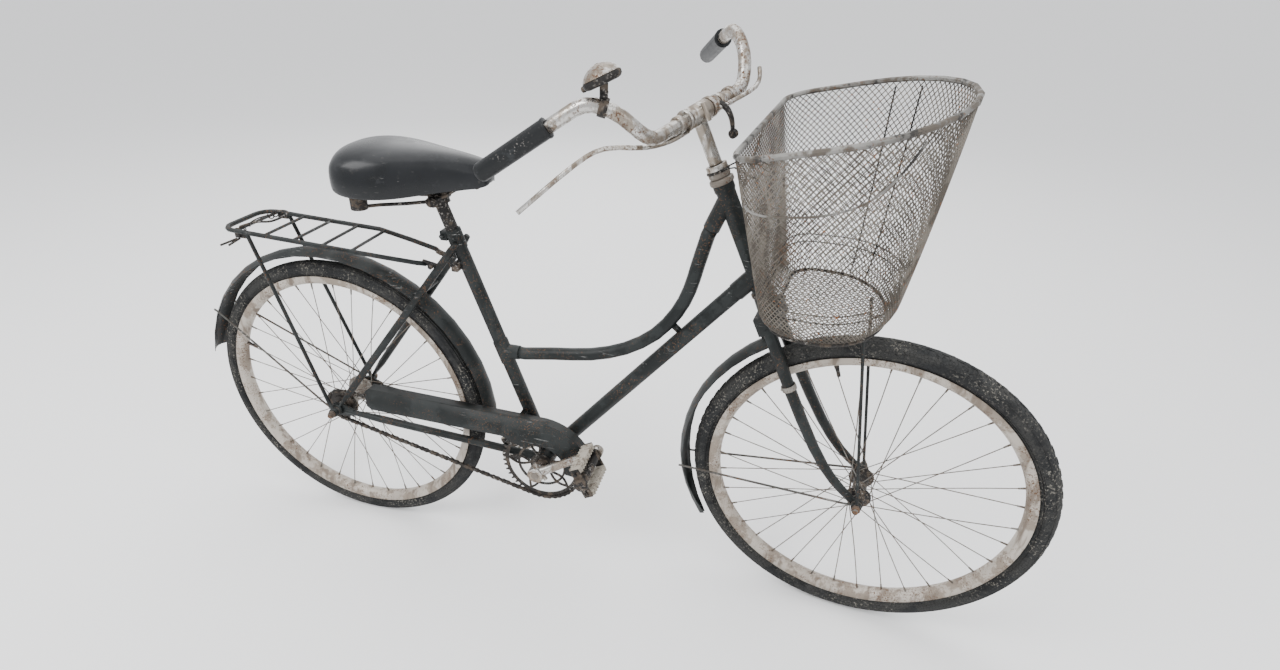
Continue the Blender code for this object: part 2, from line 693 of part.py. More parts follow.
def wheels():
    wheel("rear_wheel", REAR_WHEEL, REAR_AXLE, 0.031,
          hub_profile(DROPOUT_INSIDE - GAP, 0.031, 0.032, 0.019),
          "rear_tyre", REAR_TYRE_HEIGHT, REAR_TYRE_HALF_WIDTH)
    wheel("front_wheel", FRONT_WHEEL, FRONT_AXLE, 0.030,
          hub_profile(FORK_INSIDE - GAP, 0.030, 0.024, 0.014),
          "front_tyre", FRONT_TYRE_HEIGHT, FRONT_TYRE_HALF_WIDTH)
    inner = 0.0120 + GAP
    part("rear_cog", "dark_grease", REAR_WHEEL,
         [washer(REAR_AXLE - Y * (CHAIN_LINE + RING_THICKNESS / 2), Y, inner,
                 COG_RADIUS - CHAIN_HEIGHT / 2 - 0.0008, RING_THICKNESS, 24)])


def axle_with_nuts(name, pivot, axle, outside, end):
    """An axle through the hub, with a nut on each side against the outermost eye."""
    shapes = [rod(axle - Y * end, axle + Y * end, AXLE_RADIUS, 12)]
    for side in (-1, 1):
        shapes.append(hexagon(axle + Y * side * (outside + GAP), Y * side, NUT_HEIGHT))
    part(name, "rusty_steel", pivot, shapes)


# Drive


def chain_outline(radius_offset):
    """The closed line of the chain at a distance from its pitch line, as (x, z) from the rear axle."""
    span = BRACKET - REAR_AXLE
    distance = span.length
    slope = atan2(span.z, span.x)
    lean = (RING_RADIUS - COG_RADIUS) / distance
    spread = pi / 2 + atan2(lean, sqrt(1 - lean * lean))
    ring = arc((span.x, span.z), RING_RADIUS + radius_offset, slope - spread, slope + spread, 40)
    cog = arc((0, 0), COG_RADIUS + radius_offset, slope + spread, slope - spread + 2 * pi, 14)
    return ring + cog


def chain():
    outer = chain_outline(CHAIN_HEIGHT / 2)
    inner = chain_outline(-CHAIN_HEIGHT / 2)
    rings = []
    for (ox, oz), (ix, iz) in zip(outer, inner):
        rings.append([REAR_AXLE + Vector((x, -CHAIN_LINE + y, z)) for x, y, z in (
            (ox, -CHAIN_WIDTH / 2, oz), (ox, CHAIN_WIDTH / 2, oz),
            (ix, CHAIN_WIDTH / 2, iz), (ix, -CHAIN_WIDTH / 2, iz))])
    part("chain", "dark_grease", FRAME, [skinned(rings, closed=True)])


def chainwheel():
    """The toothed ring on five arms, with a smaller ring between them."""
    outer = RING_RADIUS - CHAIN_HEIGHT / 2 - 0.0008
    origin = BRACKET - Y * (CHAIN_LINE + RING_THICKNESS / 2)
    shapes = [washer(origin, Y, outer - 0.012, outer, RING_THICKNESS, 36)]
    shapes.append(washer(origin, Y, SPINDLE_RADIUS + GAP, 0.026, RING_THICKNESS, 14))
    shapes.append(washer(origin, Y, 0.050, 0.055, RING_THICKNESS, 24))
    for k in range(5):
        a = CRANK_ANGLE + 2 * pi * k / 5
        out = Vector((cos(a), 0, sin(a)))
        side = Y.cross(out)
        middle = BRACKET - Y * CHAIN_LINE + out * (outer + 0.014) / 2
        shapes.append(box(middle, out, side, Y, (outer - 0.026, 0.008, RING_THICKNESS)))
    part("chainwheel", "dark_grease", CRANK, shapes)


def cranks():
    """A spindle through the shell, and a cottered arm at each end."""
    inner_face = CRANK_OFFSET - 0.0105
    part("crank_spindle", "dull_steel", CRANK,
         [rod(BRACKET - Y * (CRANK_OFFSET + 0.012), BRACKET + Y * (CRANK_OFFSET + 0.012), SPINDLE_RADIUS, 14)])
    for side, name in ((-1, "right"), (1, "left")):
        out = CRANK_AXIS * -side
        eye = PEDALS[side]["straight"].to_translation() + Y * side * CRANK_OFFSET
        root_end = BRACKET + Y * side * CRANK_OFFSET
        boss = turned([(0.017, -0.011), (0.018, -0.009), (0.018, 0.009), (0.016, 0.011)], root_end, Y, 16)
        arm = tube([root_end + out * 0.008, eye - out * 0.006], [0.0105, 0.0080], 10, 0.80)
        tip = turned([(0.0125, -0.0075), (0.0125, 0.0075)], eye, Y, 14)
        across = Y.cross(out)
        cotter = rod(root_end - across * 0.024 + out * 0.011, root_end + across * 0.022 + out * 0.011, 0.0045, 8)
        shapes = [boss, arm, tip, cotter]
        if side < 0:
            shapes.append(turned([(0.0125, 0), (0.0125, inner_face - CHAIN_LINE - RING_THICKNESS / 2 - GAP)],
                                 BRACKET - Y * inner_face, Y, 14))
        part(f"crank_{name}", "worn_chrome", CRANK, shapes,
             [rod(BRACKET - Y * 0.12, BRACKET + Y * 0.12, SPINDLE_RADIUS + GAP, 14),
              rod(eye - Y * 0.02, eye + Y * 0.02, PEDAL_PIN_RADIUS + PIN_GAP, 12)])


def pedals():
    """A block pedal: a barrel on its pin, a plate at each end and a tread on each side."""
    for side, name in ((-1, "right"), (1, "left")):
        eye = PEDALS[side]["straight"].to_translation()
        inner = CRANK_OFFSET + 0.0075 + RUNNING_GAP
        start = eye + Y * side * inner
        out = Y * side
        lean = Vector((cos(radians(-62)), 0, sin(radians(-62))))
        normal = Y.cross(lean)
        pin = rod(eye + out * (CRANK_OFFSET - 0.007), start + out * 0.010, PEDAL_PIN_RADIUS, 12)
        barrel = turned([(0.010, 0), (0.010, PEDAL_LENGTH - 0.002), (0.013, PEDAL_LENGTH - 0.002),
                         (0.013, PEDAL_LENGTH + 0.006), (0.009, PEDAL_LENGTH + 0.009)], start, out, 14)
        shapes = [barrel, pin]
        for place in (0.003, PEDAL_LENGTH - 0.003):
            shapes.append(box(start + out * place, lean, normal, out, (PEDAL_WIDTH, 0.020, 0.003)))
        for edge in (-1, 1):
            middle = start + out * PEDAL_LENGTH / 2 + lean * edge * (PEDAL_WIDTH / 2 - 0.005)
            shapes.append(box(middle, lean, normal, out, (0.010, 0.026, PEDAL_LENGTH)))
        part(f"pedal_{name}", "rusty_steel", PEDALS[side], shapes)


# Guards and rack


def chain_guard():
    """A sheet with a folded top edge that covers the chain's upper run and the front of the chainwheel."""
    centre = (BRACKET.x, BRACKET.z)
    top_z = BRACKET.z + CHAIN_GUARD_OUTER
    rear_top = top_z + 0.010
    front = radians(-6)
    outer = arc(centre, CHAIN_GUARD_OUTER, front, radians(92), 14)
    rear = [(CHAIN_GUARD_REAR_X + 0.012, rear_top), (CHAIN_GUARD_REAR_X, rear_top - 0.010),
            (CHAIN_GUARD_REAR_X, rear_top - CHAIN_GUARD_ARM + 0.008),
            (CHAIN_GUARD_REAR_X + 0.010, rear_top - CHAIN_GUARD_ARM)]
    inner_start = radians(128)
    inner = arc(centre, CHAIN_GUARD_INNER, inner_start, front, 12)
    lower = [(BRACKET.x - 0.085, top_z - CHAIN_GUARD_ARM + 0.004)]
    outline = outer + rear + lower + inner
    sheet = plate(outline, Y * CHAIN_GUARD_Y, X, Z, CHAIN_GUARD_THICKNESS)
    flange_line = arc(centre, CHAIN_GUARD_OUTER, radians(8), radians(92), 12) + rear[:1]
    flange_line_in = arc(centre, CHAIN_GUARD_OUTER - CHAIN_GUARD_THICKNESS, radians(8), radians(92), 12)
    flange_line_in += [(rear[0][0], rear[0][1] - CHAIN_GUARD_THICKNESS)]
    flange = plate(flange_line + flange_line_in[::-1], Y * (CHAIN_GUARD_Y + 0.022), X, Z, 0.0228)
    tab_height = top_z - CHAIN_GUARD_THICKNESS / 2
    tab_x = BRACKET.x + SEAT_AXIS.x / SEAT_AXIS.z * (tab_height - BRACKET.z)
    tab_end = -SEAT_TUBE_RADIUS - GAP
    seat_tab = box(Vector((tab_x, (CHAIN_GUARD_Y + tab_end) / 2, tab_height)), X, Y, Z,
                   (0.012, tab_end - CHAIN_GUARD_Y, CHAIN_GUARD_THICKNESS))
    part("chain_guard", "black_paint", FRAME, [sheet, flange, seat_tab])


def guard_rings(axle, radius, angles, half_width, u, v, widths=None):
    """Rings of a mudguard's curved section, at angles round the axle in the plane of u and v."""
    rings = []
    for i, a in enumerate(angles):
        out = u * cos(a) + v * sin(a)
        share = widths[i] if widths else 1.0
        section = []
        for inset in (0.0, GUARD_THICKNESS):
            points = [(k / 3, GUARD_DROP * (k / 3) ** 2) for k in range(-3, 4)]
            row = [out * (radius - drop - inset) + Y * (y * (half_width - inset * 0.6) * share)
                   for y, drop in points]
            section.append(row)
        rings.append([axle + p for p in section[0] + section[1][::-1]])
    return rings


def rear_mudguard():
    steps = 20
    start, end = radians(-3), radians(168)
    angles = [start + (end - start) * k / steps for k in range(steps + 1)]
    shell = skinned(guard_rings(REAR_AXLE, REAR_GUARD_RADIUS, angles, GUARD_HALF_WIDTH, X, Z))
    part("rear_mudguard", "black_paint", FRAME, [shell])


def front_mudguard():
    """The front guard, which only its rear half is left of, ending in a torn point."""
    steps = 12
    start, end = radians(100), radians(186)
    angles = [start + (end - start) * k / steps for k in range(steps + 1)]
    widths = [1.0] * (steps - 3) + [0.86, 0.62, 0.36, 0.12]
    shell = skinned(guard_rings(FRONT_AXLE, FRONT_GUARD_RADIUS, angles, GUARD_HALF_WIDTH, RAKE_AXIS, HEAD_AXIS,
                                widths))
    tab_foot = FRONT_AXLE + (RAKE_AXIS * cos(radians(102)) + HEAD_AXIS * sin(radians(102))) * FRONT_GUARD_RADIUS
    tab_top = head(CROWN_BOTTOM + 0.014, -CROWN_DEPTH / 2 - GAP - 0.0042)
    tab = rod(tab_foot - (tab_top - tab_foot).normalized() * 0.001, tab_top, 0.0040, 8)
    part("front_mudguard", "black_paint", STEERING, [shell, tab])


def eye_plate(centre, side, thickness, outer):
    """A round eye, thick outwards from the centre."""
    return turned([(outer, 0), (outer, thickness)], centre, Y * side, 14)


def guard_stays():
    """Flat stays from each guard's edge to the axle."""
    rear_face = DROPOUT_INSIDE + 2 * DROPOUT_THICKNESS + 2 * GAP
    front_face = FORK_INSIDE + DROPOUT_THICKNESS + GAP
    for label, pivot, axle, face, radius, angle, u, v in (
        ("rear", FRAME, REAR_AXLE, rear_face, REAR_GUARD_RADIUS, radians(148), X, Z),
        ("front", STEERING, FRONT_AXLE, front_face, FRONT_GUARD_RADIUS, radians(161), RAKE_AXIS, HEAD_AXIS),
    ):
        for side, name in ((-1, "right"), (1, "left")):
            centre = axle + Y * side * face
            eye = eye_plate(centre, side, STAY_EYE_THICKNESS, 0.0105)
            out = u * cos(angle) + v * sin(angle)
            far = axle + out * (radius - GUARD_DROP - 0.004) + Y * side * (GUARD_HALF_WIDTH + 0.0026)
            middle = centre + Y * side * STAY_EYE_THICKNESS / 2
            bar = tube([middle + out * 0.006, middle + out * 0.026, far, far + out * 0.012], STAY_BAR_RADIUS, 8)
            part(f"{label}_mudguard_stay_{name}", "black_paint", pivot, [eye, bar], [axle_hole(centre, side)])
    return rear_face + STAY_EYE_THICKNESS, front_face + STAY_EYE_THICKNESS


def rear_rack(face):
    """A tubular loop with cross bars, on two legs from the axle."""
    z = RACK_Z
    half = RACK_HALF_WIDTH
    corner = 0.030
    side_line = [(RACK_FRONT_X + 0.016, 0.030, z - 0.034), (RACK_FRONT_X, 0.040, z - 0.030),
                 (RACK_FRONT_X - 0.060, 0.052, z - 0.022), (RACK_FRONT_X - 0.14, half, z - 0.012),
                 (RACK_REAR_X + corner, half, z)]
    rear_arc = [(RACK_REAR_X + corner - corner * sin(a), half - corner + corner * cos(a), z)
                for a in (radians(22.5), radians(45), radians(67.5), radians(90))]
    left = side_line + rear_arc
    path = left + [(x, -y, h) for x, y, h in reversed(left)]
    shapes = [tube(path, RACK_RADIUS, 8)]
    for x in (-0.150, -0.085, -0.020, 0.045, 0.110):
        shapes.append(rod(Vector((x, -half, rack_height(x))), Vector((x, half, rack_height(x))), RACK_BAR_RADIUS, 6))
    for side in (-1, 1):
        foot = REAR_AXLE + Y * side * (face + GAP)
        shapes.append(eye_plate(foot, side, 2 * RACK_LEG_RADIUS, 0.0105))
        middle = foot + Y * side * RACK_LEG_RADIUS
        top = Vector((RACK_LEG_X, side * half, rack_height(RACK_LEG_X)))
        up = (top - middle).normalized()
        shapes.append(tube([middle + up * 0.007, middle + Z * 0.030 + X * up.x * 0.030, top], RACK_LEG_RADIUS, 8))
    part("rear_rack", "black_paint", FRAME, shapes,
         [axle_hole(REAR_AXLE + Y * side * (face + GAP), side) for side in (-1, 1)])
    return face + GAP + 2 * RACK_LEG_RADIUS


def rack_height(x):
    """The rack falls a little towards the front, as its side line does."""
    points = [(RACK_REAR_X + 0.030, RACK_Z), (RACK_FRONT_X - 0.14, RACK_Z - 0.012)]
    (x0, z0), (x1, z1) = points
    return z0 + (z1 - z0) * (x - x0) / (x1 - x0)


# Steering

CROWN_BOTTOM = 0.384
CROWN_TOP = 0.418
CROWN_DEPTH = 0.036


def fork():
    """Crown, steerer and two blades that curve forward to the dropouts."""
    crown = box(head((CROWN_BOTTOM + CROWN_TOP) / 2), RAKE_AXIS, Y, HEAD_AXIS,
                (CROWN_DEPTH, 0.094, CROWN_TOP - CROWN_BOTTOM))
    race_top = HEAD_BOTTOM - 0.0103 - GAP
    race = turned([(0.0200, 0), (0.0190, race_top - CROWN_TOP + 0.001)], head(CROWN_TOP - 0.001), HEAD_AXIS)
    shapes = [crown, race, rod(head(CROWN_TOP - 0.01), head(HEADSET_TOP), STEERER_RADIUS, 16)]
    for side in (-1, 1):
        blade_end = FORK_INSIDE + DROPOUT_THICKNESS / 2
        path = curve([
            head(CROWN_BOTTOM + 0.010, 0, side * 0.0360),
            head(0.270, 0, side * 0.0425),
            head(0.140, 0.006, side * 0.0480),
            head(0.062, 0.020, side * 0.0500),
            head(0.008, 0.043, side * blade_end),
        ], 2)
        count = len(path) - 1
        radii = [BLADE_RADIUS + (BLADE_TIP_RADIUS - BLADE_RADIUS) * (k / count) ** 1.5 for k in range(count + 1)]
        shapes.append(tube(path, radii, 10, 1.15))
        centre = FRONT_AXLE + Y * side * blade_end
        shapes.append(turned([(0.0120, -DROPOUT_THICKNESS / 2), (0.0120, DROPOUT_THICKNESS / 2)], centre, Y, 14))
    inside = FORK_INSIDE
    hub_room = turned([(0.020, -inside), (0.020, inside)], FRONT_AXLE, Y)
    outer_room = [box(FRONT_AXLE + Y * side * (inside + DROPOUT_THICKNESS + 0.01), RAKE_AXIS, HEAD_AXIS, Y,
                      (0.044, 0.044, 0.020)) for side in (-1, 1)]
    cuts = [rod(FRONT_AXLE - Y * 0.08, FRONT_AXLE + Y * 0.08, AXLE_RADIUS + PIN_GAP, 12), hub_room, *outer_room]
    part("fork", "black_paint", STEERING, shapes, cuts)


HEADSET_CONE = HEAD_BOTTOM + HEAD_LENGTH + 0.0106
BRACKET_RING = HEADSET_CONE + 0.0100 + GAP
LOCKNUT = BRACKET_RING + 0.0030 + GAP
HEADSET_TOP = LOCKNUT + 0.0090


def headset_rings():
    inner = STEERER_RADIUS + GAP
    part("headset_cone", "dull_steel", STEERING,
         [ring_of([(inner, 0), (0.0165, 0), (0.0185, 0.003), (0.0185, 0.010), (inner, 0.010)],
                  head(HEADSET_CONE), HEAD_AXIS, 16)])
    part("headset_locknut", "worn_chrome", STEERING, [washer(head(LOCKNUT), HEAD_AXIS, inner, 0.0180, 0.009)])


def stem():
    start = head(HEADSET_TOP + GAP)
    middle = bar_place(0, 0, 0)
    across = (bar_place(0, 1, 0) - bar_place(0, 0, 0)).normalized()
    post = rod(start, middle - HEAD_AXIS * 0.004, STEM_RADIUS, 14)
    sleeve = turned([(0.0150, -0.026), (0.0168, -0.023), (0.0168, 0.023), (0.0150, 0.026)], middle, across, 18)
    forward = bar_place(1, 0, 0) - bar_place(0, 0, 0)
    bolt = rod(middle + forward * 0.018 - HEAD_AXIS * 0.016, middle + forward * 0.018 + HEAD_AXIS * 0.014, 0.0045, 8)
    part("stem", "worn_chrome", STEERING, [post, sleeve, bolt],
         [rod(middle - across * 0.04, middle + across * 0.04, BAR_RADIUS + 0.0005, 14)])


BAR_BENDS = [(0.0, 0.050, 0.0), (0.002, 0.085, 0.000), (0.005, 0.118, 0.003), (0.006, 0.140, 0.022),
             (0.004, 0.158, 0.050), (-0.008, 0.174, 0.074), (-0.028, 0.190, 0.088)]
GRIP_START = (-0.078, 0.226, 0.082)
GRIP_END = (-0.188, 0.303, 0.063)
BEFORE_GRIP = tuple(a + (a - b) * 0.22 for a, b in zip(GRIP_START, GRIP_END))


def handlebar():
    ends = [(0.0, 0.0, 0.0), *BAR_BENDS, BEFORE_GRIP, GRIP_START]
    near = [bar_place(f, -y, t) for f, y, t in reversed(ends)]
    far = [bar_place(f, y, t) for f, y, t in ends[1:]]
    path = curve(near + far, 2)
    part("handlebar", "worn_chrome", STEERING, [tube(path, BAR_RADIUS, 10)])
    for side, name in ((-1, "right"), (1, "left")):
        start = bar_place(GRIP_START[0], side * GRIP_START[1], GRIP_START[2])
        end = bar_place(GRIP_END[0], side * GRIP_END[1], GRIP_END[2])
        axis = (end - start).normalized()
        length = (end - start).length
        part(f"grip_{name}", "grip_rubber", STEERING,
             [turned([(0.0165, GAP), (0.0165, 0.004), (GRIP_RADIUS, 0.006), (GRIP_RADIUS, length - 0.006),
                      (0.0120, length)], start, axis, 14)])


def bell():
    """A domed bell on a short post, clamped round the bar's right bend, with its thumb lever."""
    foot = bar_place(0.006, -0.168, 0.074)
    up = HEAD_AXIS
    below, seat, above = (bar_place(f, -y, t) for f, y, t in BAR_BENDS[-3:])
    along = (above - below).normalized()
    clamp = ring_of([(BAR_RADIUS + 0.0008, -0.005), (BAR_RADIUS + 0.0040, -0.005),
                     (BAR_RADIUS + 0.0040, 0.005), (BAR_RADIUS + 0.0008, 0.005)], seat, along, 14)
    base = foot + up * (BAR_RADIUS + 0.016)
    shapes = [turned([(0.026, 0), (0.030, 0.004), (0.030, 0.011), (0.0275, 0.018), (0.020, 0.025),
                      (0.009, 0.029)], base, up, 18),
              clamp,
              rod(seat + (base - seat).normalized() * (BAR_RADIUS + 0.0020), base + up * 0.002, 0.0060)]
    lever = bar_place(-0.030, -0.178, 0.074) + up * (BAR_RADIUS + 0.022)
    shapes.append(rod(base + up * 0.006, lever, 0.0035, 8))
    part("bell", "worn_chrome", STEERING, shapes)


def brake_controls():
    """The lever on each side, bent from rod, and the shaft below the bar that carries them."""
    drop = BAR_RADIUS + 0.0040 + GAP
    lever_line = [(0.0, 0.034, -drop), (-0.004, 0.075, -drop), (-0.014, 0.120, -0.006), (-0.034, 0.180, 0.020),
                  (-0.060, 0.225, 0.018), (-0.118, 0.315, -0.008)]
    part("brake_lever_right", "worn_chrome", STEERING,
         [tube(curve([bar_place(f, -y, t) for f, y, t in lever_line], 3), 0.0040, 8)])
    short_line = [(0.0131, 0.034, -0.0069), (0.022, 0.086, -0.008), (0.026, 0.128, -0.006), (0.024, 0.150, 0.004),
                  (0.022, 0.160, 0.018)]
    part("brake_lever_left", "worn_chrome", STEERING,
         [tube(curve([bar_place(f, y, t) for f, y, t in short_line], 2), 0.0038, 8)])


def basket_ring(level, inset, lift=0.0):
    """The basket's D-shaped outline at a level from 0 at the floor to 1 at the rim, drawn in by an inset."""
    rear_x = BASKET_FLOOR_REAR_X + (BASKET_RIM_REAR_X - BASKET_FLOOR_REAR_X) * level
    half = BASKET_FLOOR_HALF_WIDTH + (BASKET_RIM_HALF_WIDTH - BASKET_FLOOR_HALF_WIDTH) * level - inset
    length = BASKET_FLOOR_LENGTH + (BASKET_RIM_LENGTH - BASKET_FLOOR_LENGTH) * level - 2 * inset
    tilt = BASKET_TILT * level
    base_z = BASKET_FLOOR_Z + (BASKET_RIM_Z - BASKET_FLOOR_Z) * level + lift
    points = []
    corner = BASKET_CORNER
    for a, b in arc((corner, half - corner), corner, pi, pi / 2, 4):
        points.append((a, b))
    straight = length * 0.42
    for a in [pi / 2 - pi * k / 12 for k in range(13)]:
        points.append((straight + (length - straight) * cos(a), half * sin(a)))
    for a, b in arc((corner, corner - half), corner, -pi / 2, -pi, 4):
        points.append((a, b))
    return [Vector((rear_x + inset + a * cos(tilt), b, base_z + a * sin(tilt))) for a, b in points]


def around(ring, share):
    """The point at a share of the way round a ring."""
    lengths = [(b - a).length for a, b in zip(ring, ring[1:] + ring[:1])]
    target = sum(lengths) * (share % 1)
    for a, b, length in zip(ring, ring[1:] + ring[:1], lengths):
        if target < length:
            return a.lerp(b, target / length)
        target -= length
    return ring[0]


def basket_line(level, inset, lift=0.0):
    """The outline at the edges of the upright bars, from the middle of the back."""
    ring = basket_ring(level, inset, lift)
    ring.insert(0, (ring[0] + ring[-1]) / 2)
    half_bar = BASKET_BAR / 2
    return [around(ring, (k + edge) / BASKET_COLUMNS) for k in range(BASKET_COLUMNS)
            for edge in (0.5 - half_bar, 0.5 + half_bar)]


def basket_sheet(inset, lift):
    """Lines of points from the rim down the wall and over the floor."""
    foot = basket_line(0.0, BASKET_FLOOR_INSET + inset, lift)
    heel_level = 0.12
    heel = basket_line(heel_level, inset)
    levels = sorted({0.0, heel_level, 1.0, *(level for row in BASKET_ROWS for level in row)}, reverse=True)
    lines = []
    for level in levels:
        if level >= heel_level:
            lines.append(basket_line(level, inset))
        else:
            lines.append([a.lerp(b, level / heel_level) for a, b in zip(foot, heel)])
    middle = sum(foot, Vector()) / len(foot)
    lines += [[middle.lerp(point, share) for point in foot] for share in BASKET_FLOOR_OPENING]
    return levels, lines


def basket():
    """A wall and floor with a plain grid of openings."""
    levels, outer = basket_sheet(0.0, 0.0)
    _, inner = basket_sheet(BASKET_WALL, BASKET_WALL)
    shape = bmesh.new()
    outer, inner = ([[shape.verts.new(point) for point in line] for line in sheet] for sheet in (outer, inner))
    count = 2 * BASKET_COLUMNS
    open_rows = {levels.index(head_level): number for number, (_, head_level) in enumerate(BASKET_ROWS)}
    open_rows[len(outer) - 2] = None
    for row in range(len(outer) - 1):
        for k in range(count):
            after = (k + 1) % count
            corners = [(row, k), (row, after), (row + 1, after), (row + 1, k)]
            column = (k + 1) // 2 % BASKET_COLUMNS
            behind = column in (0, 1, BASKET_COLUMNS - 1) and open_rows.get(row) in BASKET_BACK_ROWS
            if row in open_rows and k % 2 == 1 and not behind:
                for (i, j), (m, n) in zip(corners, corners[1:] + corners[:1]):
                    shape.faces.new((outer[i][j], outer[m][n], inner[m][n], inner[i][j]))
            else:
                for sheet in (outer, inner):
                    shape.faces.new([sheet[i][j] for i, j in corners])
    for k in range(count):
        after = (k + 1) % count
        shape.faces.new((outer[0][k], outer[0][after], inner[0][after], inner[0][k]))
    for sheet in (outer, inner):
        shape.faces.new(sheet[-1])
    bmesh.ops.recalc_face_normals(shape, faces=shape.faces)
    part("basket", "mesh_steel", STEERING, [shape])
    rim = basket_ring(1.0, BASKET_WALL / 2, BASKET_RIM_RADIUS + GAP)
    part("basket_rim", "mesh_steel", STEERING, [tube(rim, BASKET_RIM_RADIUS, 8, closed=True)])


def basket_carriers(face):
    """Two struts from the axle to the basket's floor, and a bracket from the headset to its back."""
    for side, name in ((-1, "right"), (1, "left")):
        foot = FRONT_AXLE + Y * side * (face + GAP)
        top = Vector((1.075, side * 0.062, BASKET_FLOOR_Z - GAP))
        rod_foot = foot + Y * side * STRUT_ROD_RADIUS + Z * 0.007
        part(f"basket_strut_{name}", "black_paint", STEERING,
             [eye_plate(foot, side, 2 * STRUT_ROD_RADIUS, 0.0095), rod(rod_foot, top, STRUT_ROD_RADIUS, 8)],
             [axle_hole(foot, side), box(top + Z * 0.01, X, Y, Z, (0.05, 0.05, 0.02))])
    ring = washer(head(BRACKET_RING), HEAD_AXIS, STEERER_RADIUS + GAP, 0.0200, 0.0030)
    middle = head(BRACKET_RING + 0.0015)
    back = basket_ring(0.80, 0.0)
    back_x = min(point.x for point in back)
    prongs = []
    for side in (-1, 1):
        target = Vector((back_x - GAP - 0.0004, side * 0.034, middle.z + 0.004))
        prongs.append(tube([head(BRACKET_RING + 0.0015, 0.015, side * 0.008),
                            head(BRACKET_RING + 0.0015, 0.036, side * 0.024), target], 0.0014, 6))
    part("basket_bracket", "black_paint", STEERING, [ring, *prongs])
    return face + GAP + 2 * STRUT_ROD_RADIUS


head_tube()
headset_cups()
down_tube()
loop_tube()
frame_strut()
seat_tube()
bottom_bracket()
chain_stays()
seat_stays()
stay_bridges()
saddle(seat_post())
wheels()
chain()
chainwheel()
cranks()
pedals()
chain_guard()
rear_mudguard()
front_mudguard()
rear_outside, front_outside = guard_stays()
rear_outside = rear_rack(rear_outside)
fork()
headset_rings()
stem()
handlebar()
bell()
brake_controls()
basket()
front_outside = basket_carriers(front_outside)
axle_with_nuts("rear_axle", FRAME, REAR_AXLE, rear_outside, rear_outside + 0.014)
axle_with_nuts("front_axle", STEERING, FRONT_AXLE, front_outside, front_outside + 0.014)
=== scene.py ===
"""The finishes, fine pieces and stage of a weathered step-through bicycle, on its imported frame."""

import json
import math

import bmesh
import bpy
from mathutils import Matrix, Vector


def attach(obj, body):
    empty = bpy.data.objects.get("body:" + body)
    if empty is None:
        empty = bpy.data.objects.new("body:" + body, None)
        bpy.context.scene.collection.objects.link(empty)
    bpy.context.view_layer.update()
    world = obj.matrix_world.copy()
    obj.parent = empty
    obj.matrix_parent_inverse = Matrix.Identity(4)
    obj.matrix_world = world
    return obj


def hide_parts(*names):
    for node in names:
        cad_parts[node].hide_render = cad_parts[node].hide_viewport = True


bl_info = {
    "name": "Weathered Bicycle",
    "version": (1, 0, 0),
    "blender": (4, 5, 0),
    "location": "View3D > Sidebar > Bicycle",
    "description": "Builds the fine pieces, finishes and stage of a weathered step-through bicycle",
    "category": "Add Mesh",
}

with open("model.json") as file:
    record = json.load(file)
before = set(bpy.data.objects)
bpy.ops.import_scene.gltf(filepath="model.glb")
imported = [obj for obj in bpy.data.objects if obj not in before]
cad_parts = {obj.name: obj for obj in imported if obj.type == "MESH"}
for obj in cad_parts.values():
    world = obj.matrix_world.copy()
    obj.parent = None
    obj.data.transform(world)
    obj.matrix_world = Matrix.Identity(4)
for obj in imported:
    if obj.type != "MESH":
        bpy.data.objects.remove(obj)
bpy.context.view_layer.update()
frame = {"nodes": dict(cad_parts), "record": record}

PI = math.pi
X, Y, Z = Vector((1, 0, 0)), Vector((0, 1, 0)), Vector((0, 0, 1))

# Places of the frame, in metres, from the ground under the rear axle
RIDER = Vector((0.242, 0, 0.925))
RIM_EDGE = 0.301
RIM_HALF_WIDTH = 0.015
RIM_DEPTH = 0.0205
BEAD = 0.295
REAR_TYRE = (0.031, 0.018)  # height, half width
FRONT_TYRE = (0.035, 0.0225)
REAR_AXLE = Vector((0, 0, RIM_EDGE + REAR_TYRE[0]))
FRONT_AXLE = Vector((1.135, 0, RIM_EDGE + FRONT_TYRE[0]))
BRACKET = Vector((0.482, 0, 0.270))
HEAD_ANGLE = math.radians(64.0)
HEAD_AXIS = Vector((-math.cos(HEAD_ANGLE), 0, math.sin(HEAD_ANGLE)))
RAKE_AXIS = Vector((math.sin(HEAD_ANGLE), 0, math.cos(HEAD_ANGLE)))
HEAD_FOOT = FRONT_AXLE - RAKE_AXIS * 0.048
HEAD_BOTTOM = 0.452
STEM_HEIGHT = 0.770
STEER_REST = math.radians(-8.2)
BAR_TWIST = math.radians(-20.8)
BAR_RADIUS = 0.0110
SEAT_ANGLE = math.radians(69.8)
SEAT_AXIS = Vector((-math.cos(SEAT_ANGLE), 0, math.sin(SEAT_ANGLE)))
SEAT_TOP = BRACKET + SEAT_AXIS * 0.530
CHAIN_LINE = 0.044
CHAIN_PITCH = 0.0127
RING_TEETH, COG_TEETH = 44, 18
RING_RADIUS = CHAIN_PITCH * RING_TEETH / (2 * PI)
COG_RADIUS = CHAIN_PITCH * COG_TEETH / (2 * PI)
CRANK_ANGLE = math.radians(33.0)
CRANK_LENGTH = 0.160
CRANK_AXIS = Vector((math.cos(CRANK_ANGLE), 0, math.sin(CRANK_ANGLE)))
PEDAL_INNER = 0.0895
PEDAL_LENGTH = 0.094
PEDAL_LEAN = math.radians(-62)
SADDLE_REAR, SADDLE_LENGTH, SADDLE_TOP, SADDLE_SKIRT = 0.092, 0.300, 0.925, 0.062
BASKET_FLOOR_Z, BASKET_RIM_Z, BASKET_TILT = 0.712, 0.998, math.radians(13.0)
RACK_Z = 0.735

LEVEL = Matrix.Translation(-RIDER)


def head(t, f=0.0, y=0.0):
    """A point t up the steering axis, f ahead of it and y to the left, straight ahead."""
    return HEAD_FOOT + HEAD_AXIS * t + RAKE_AXIS * f + Y * y


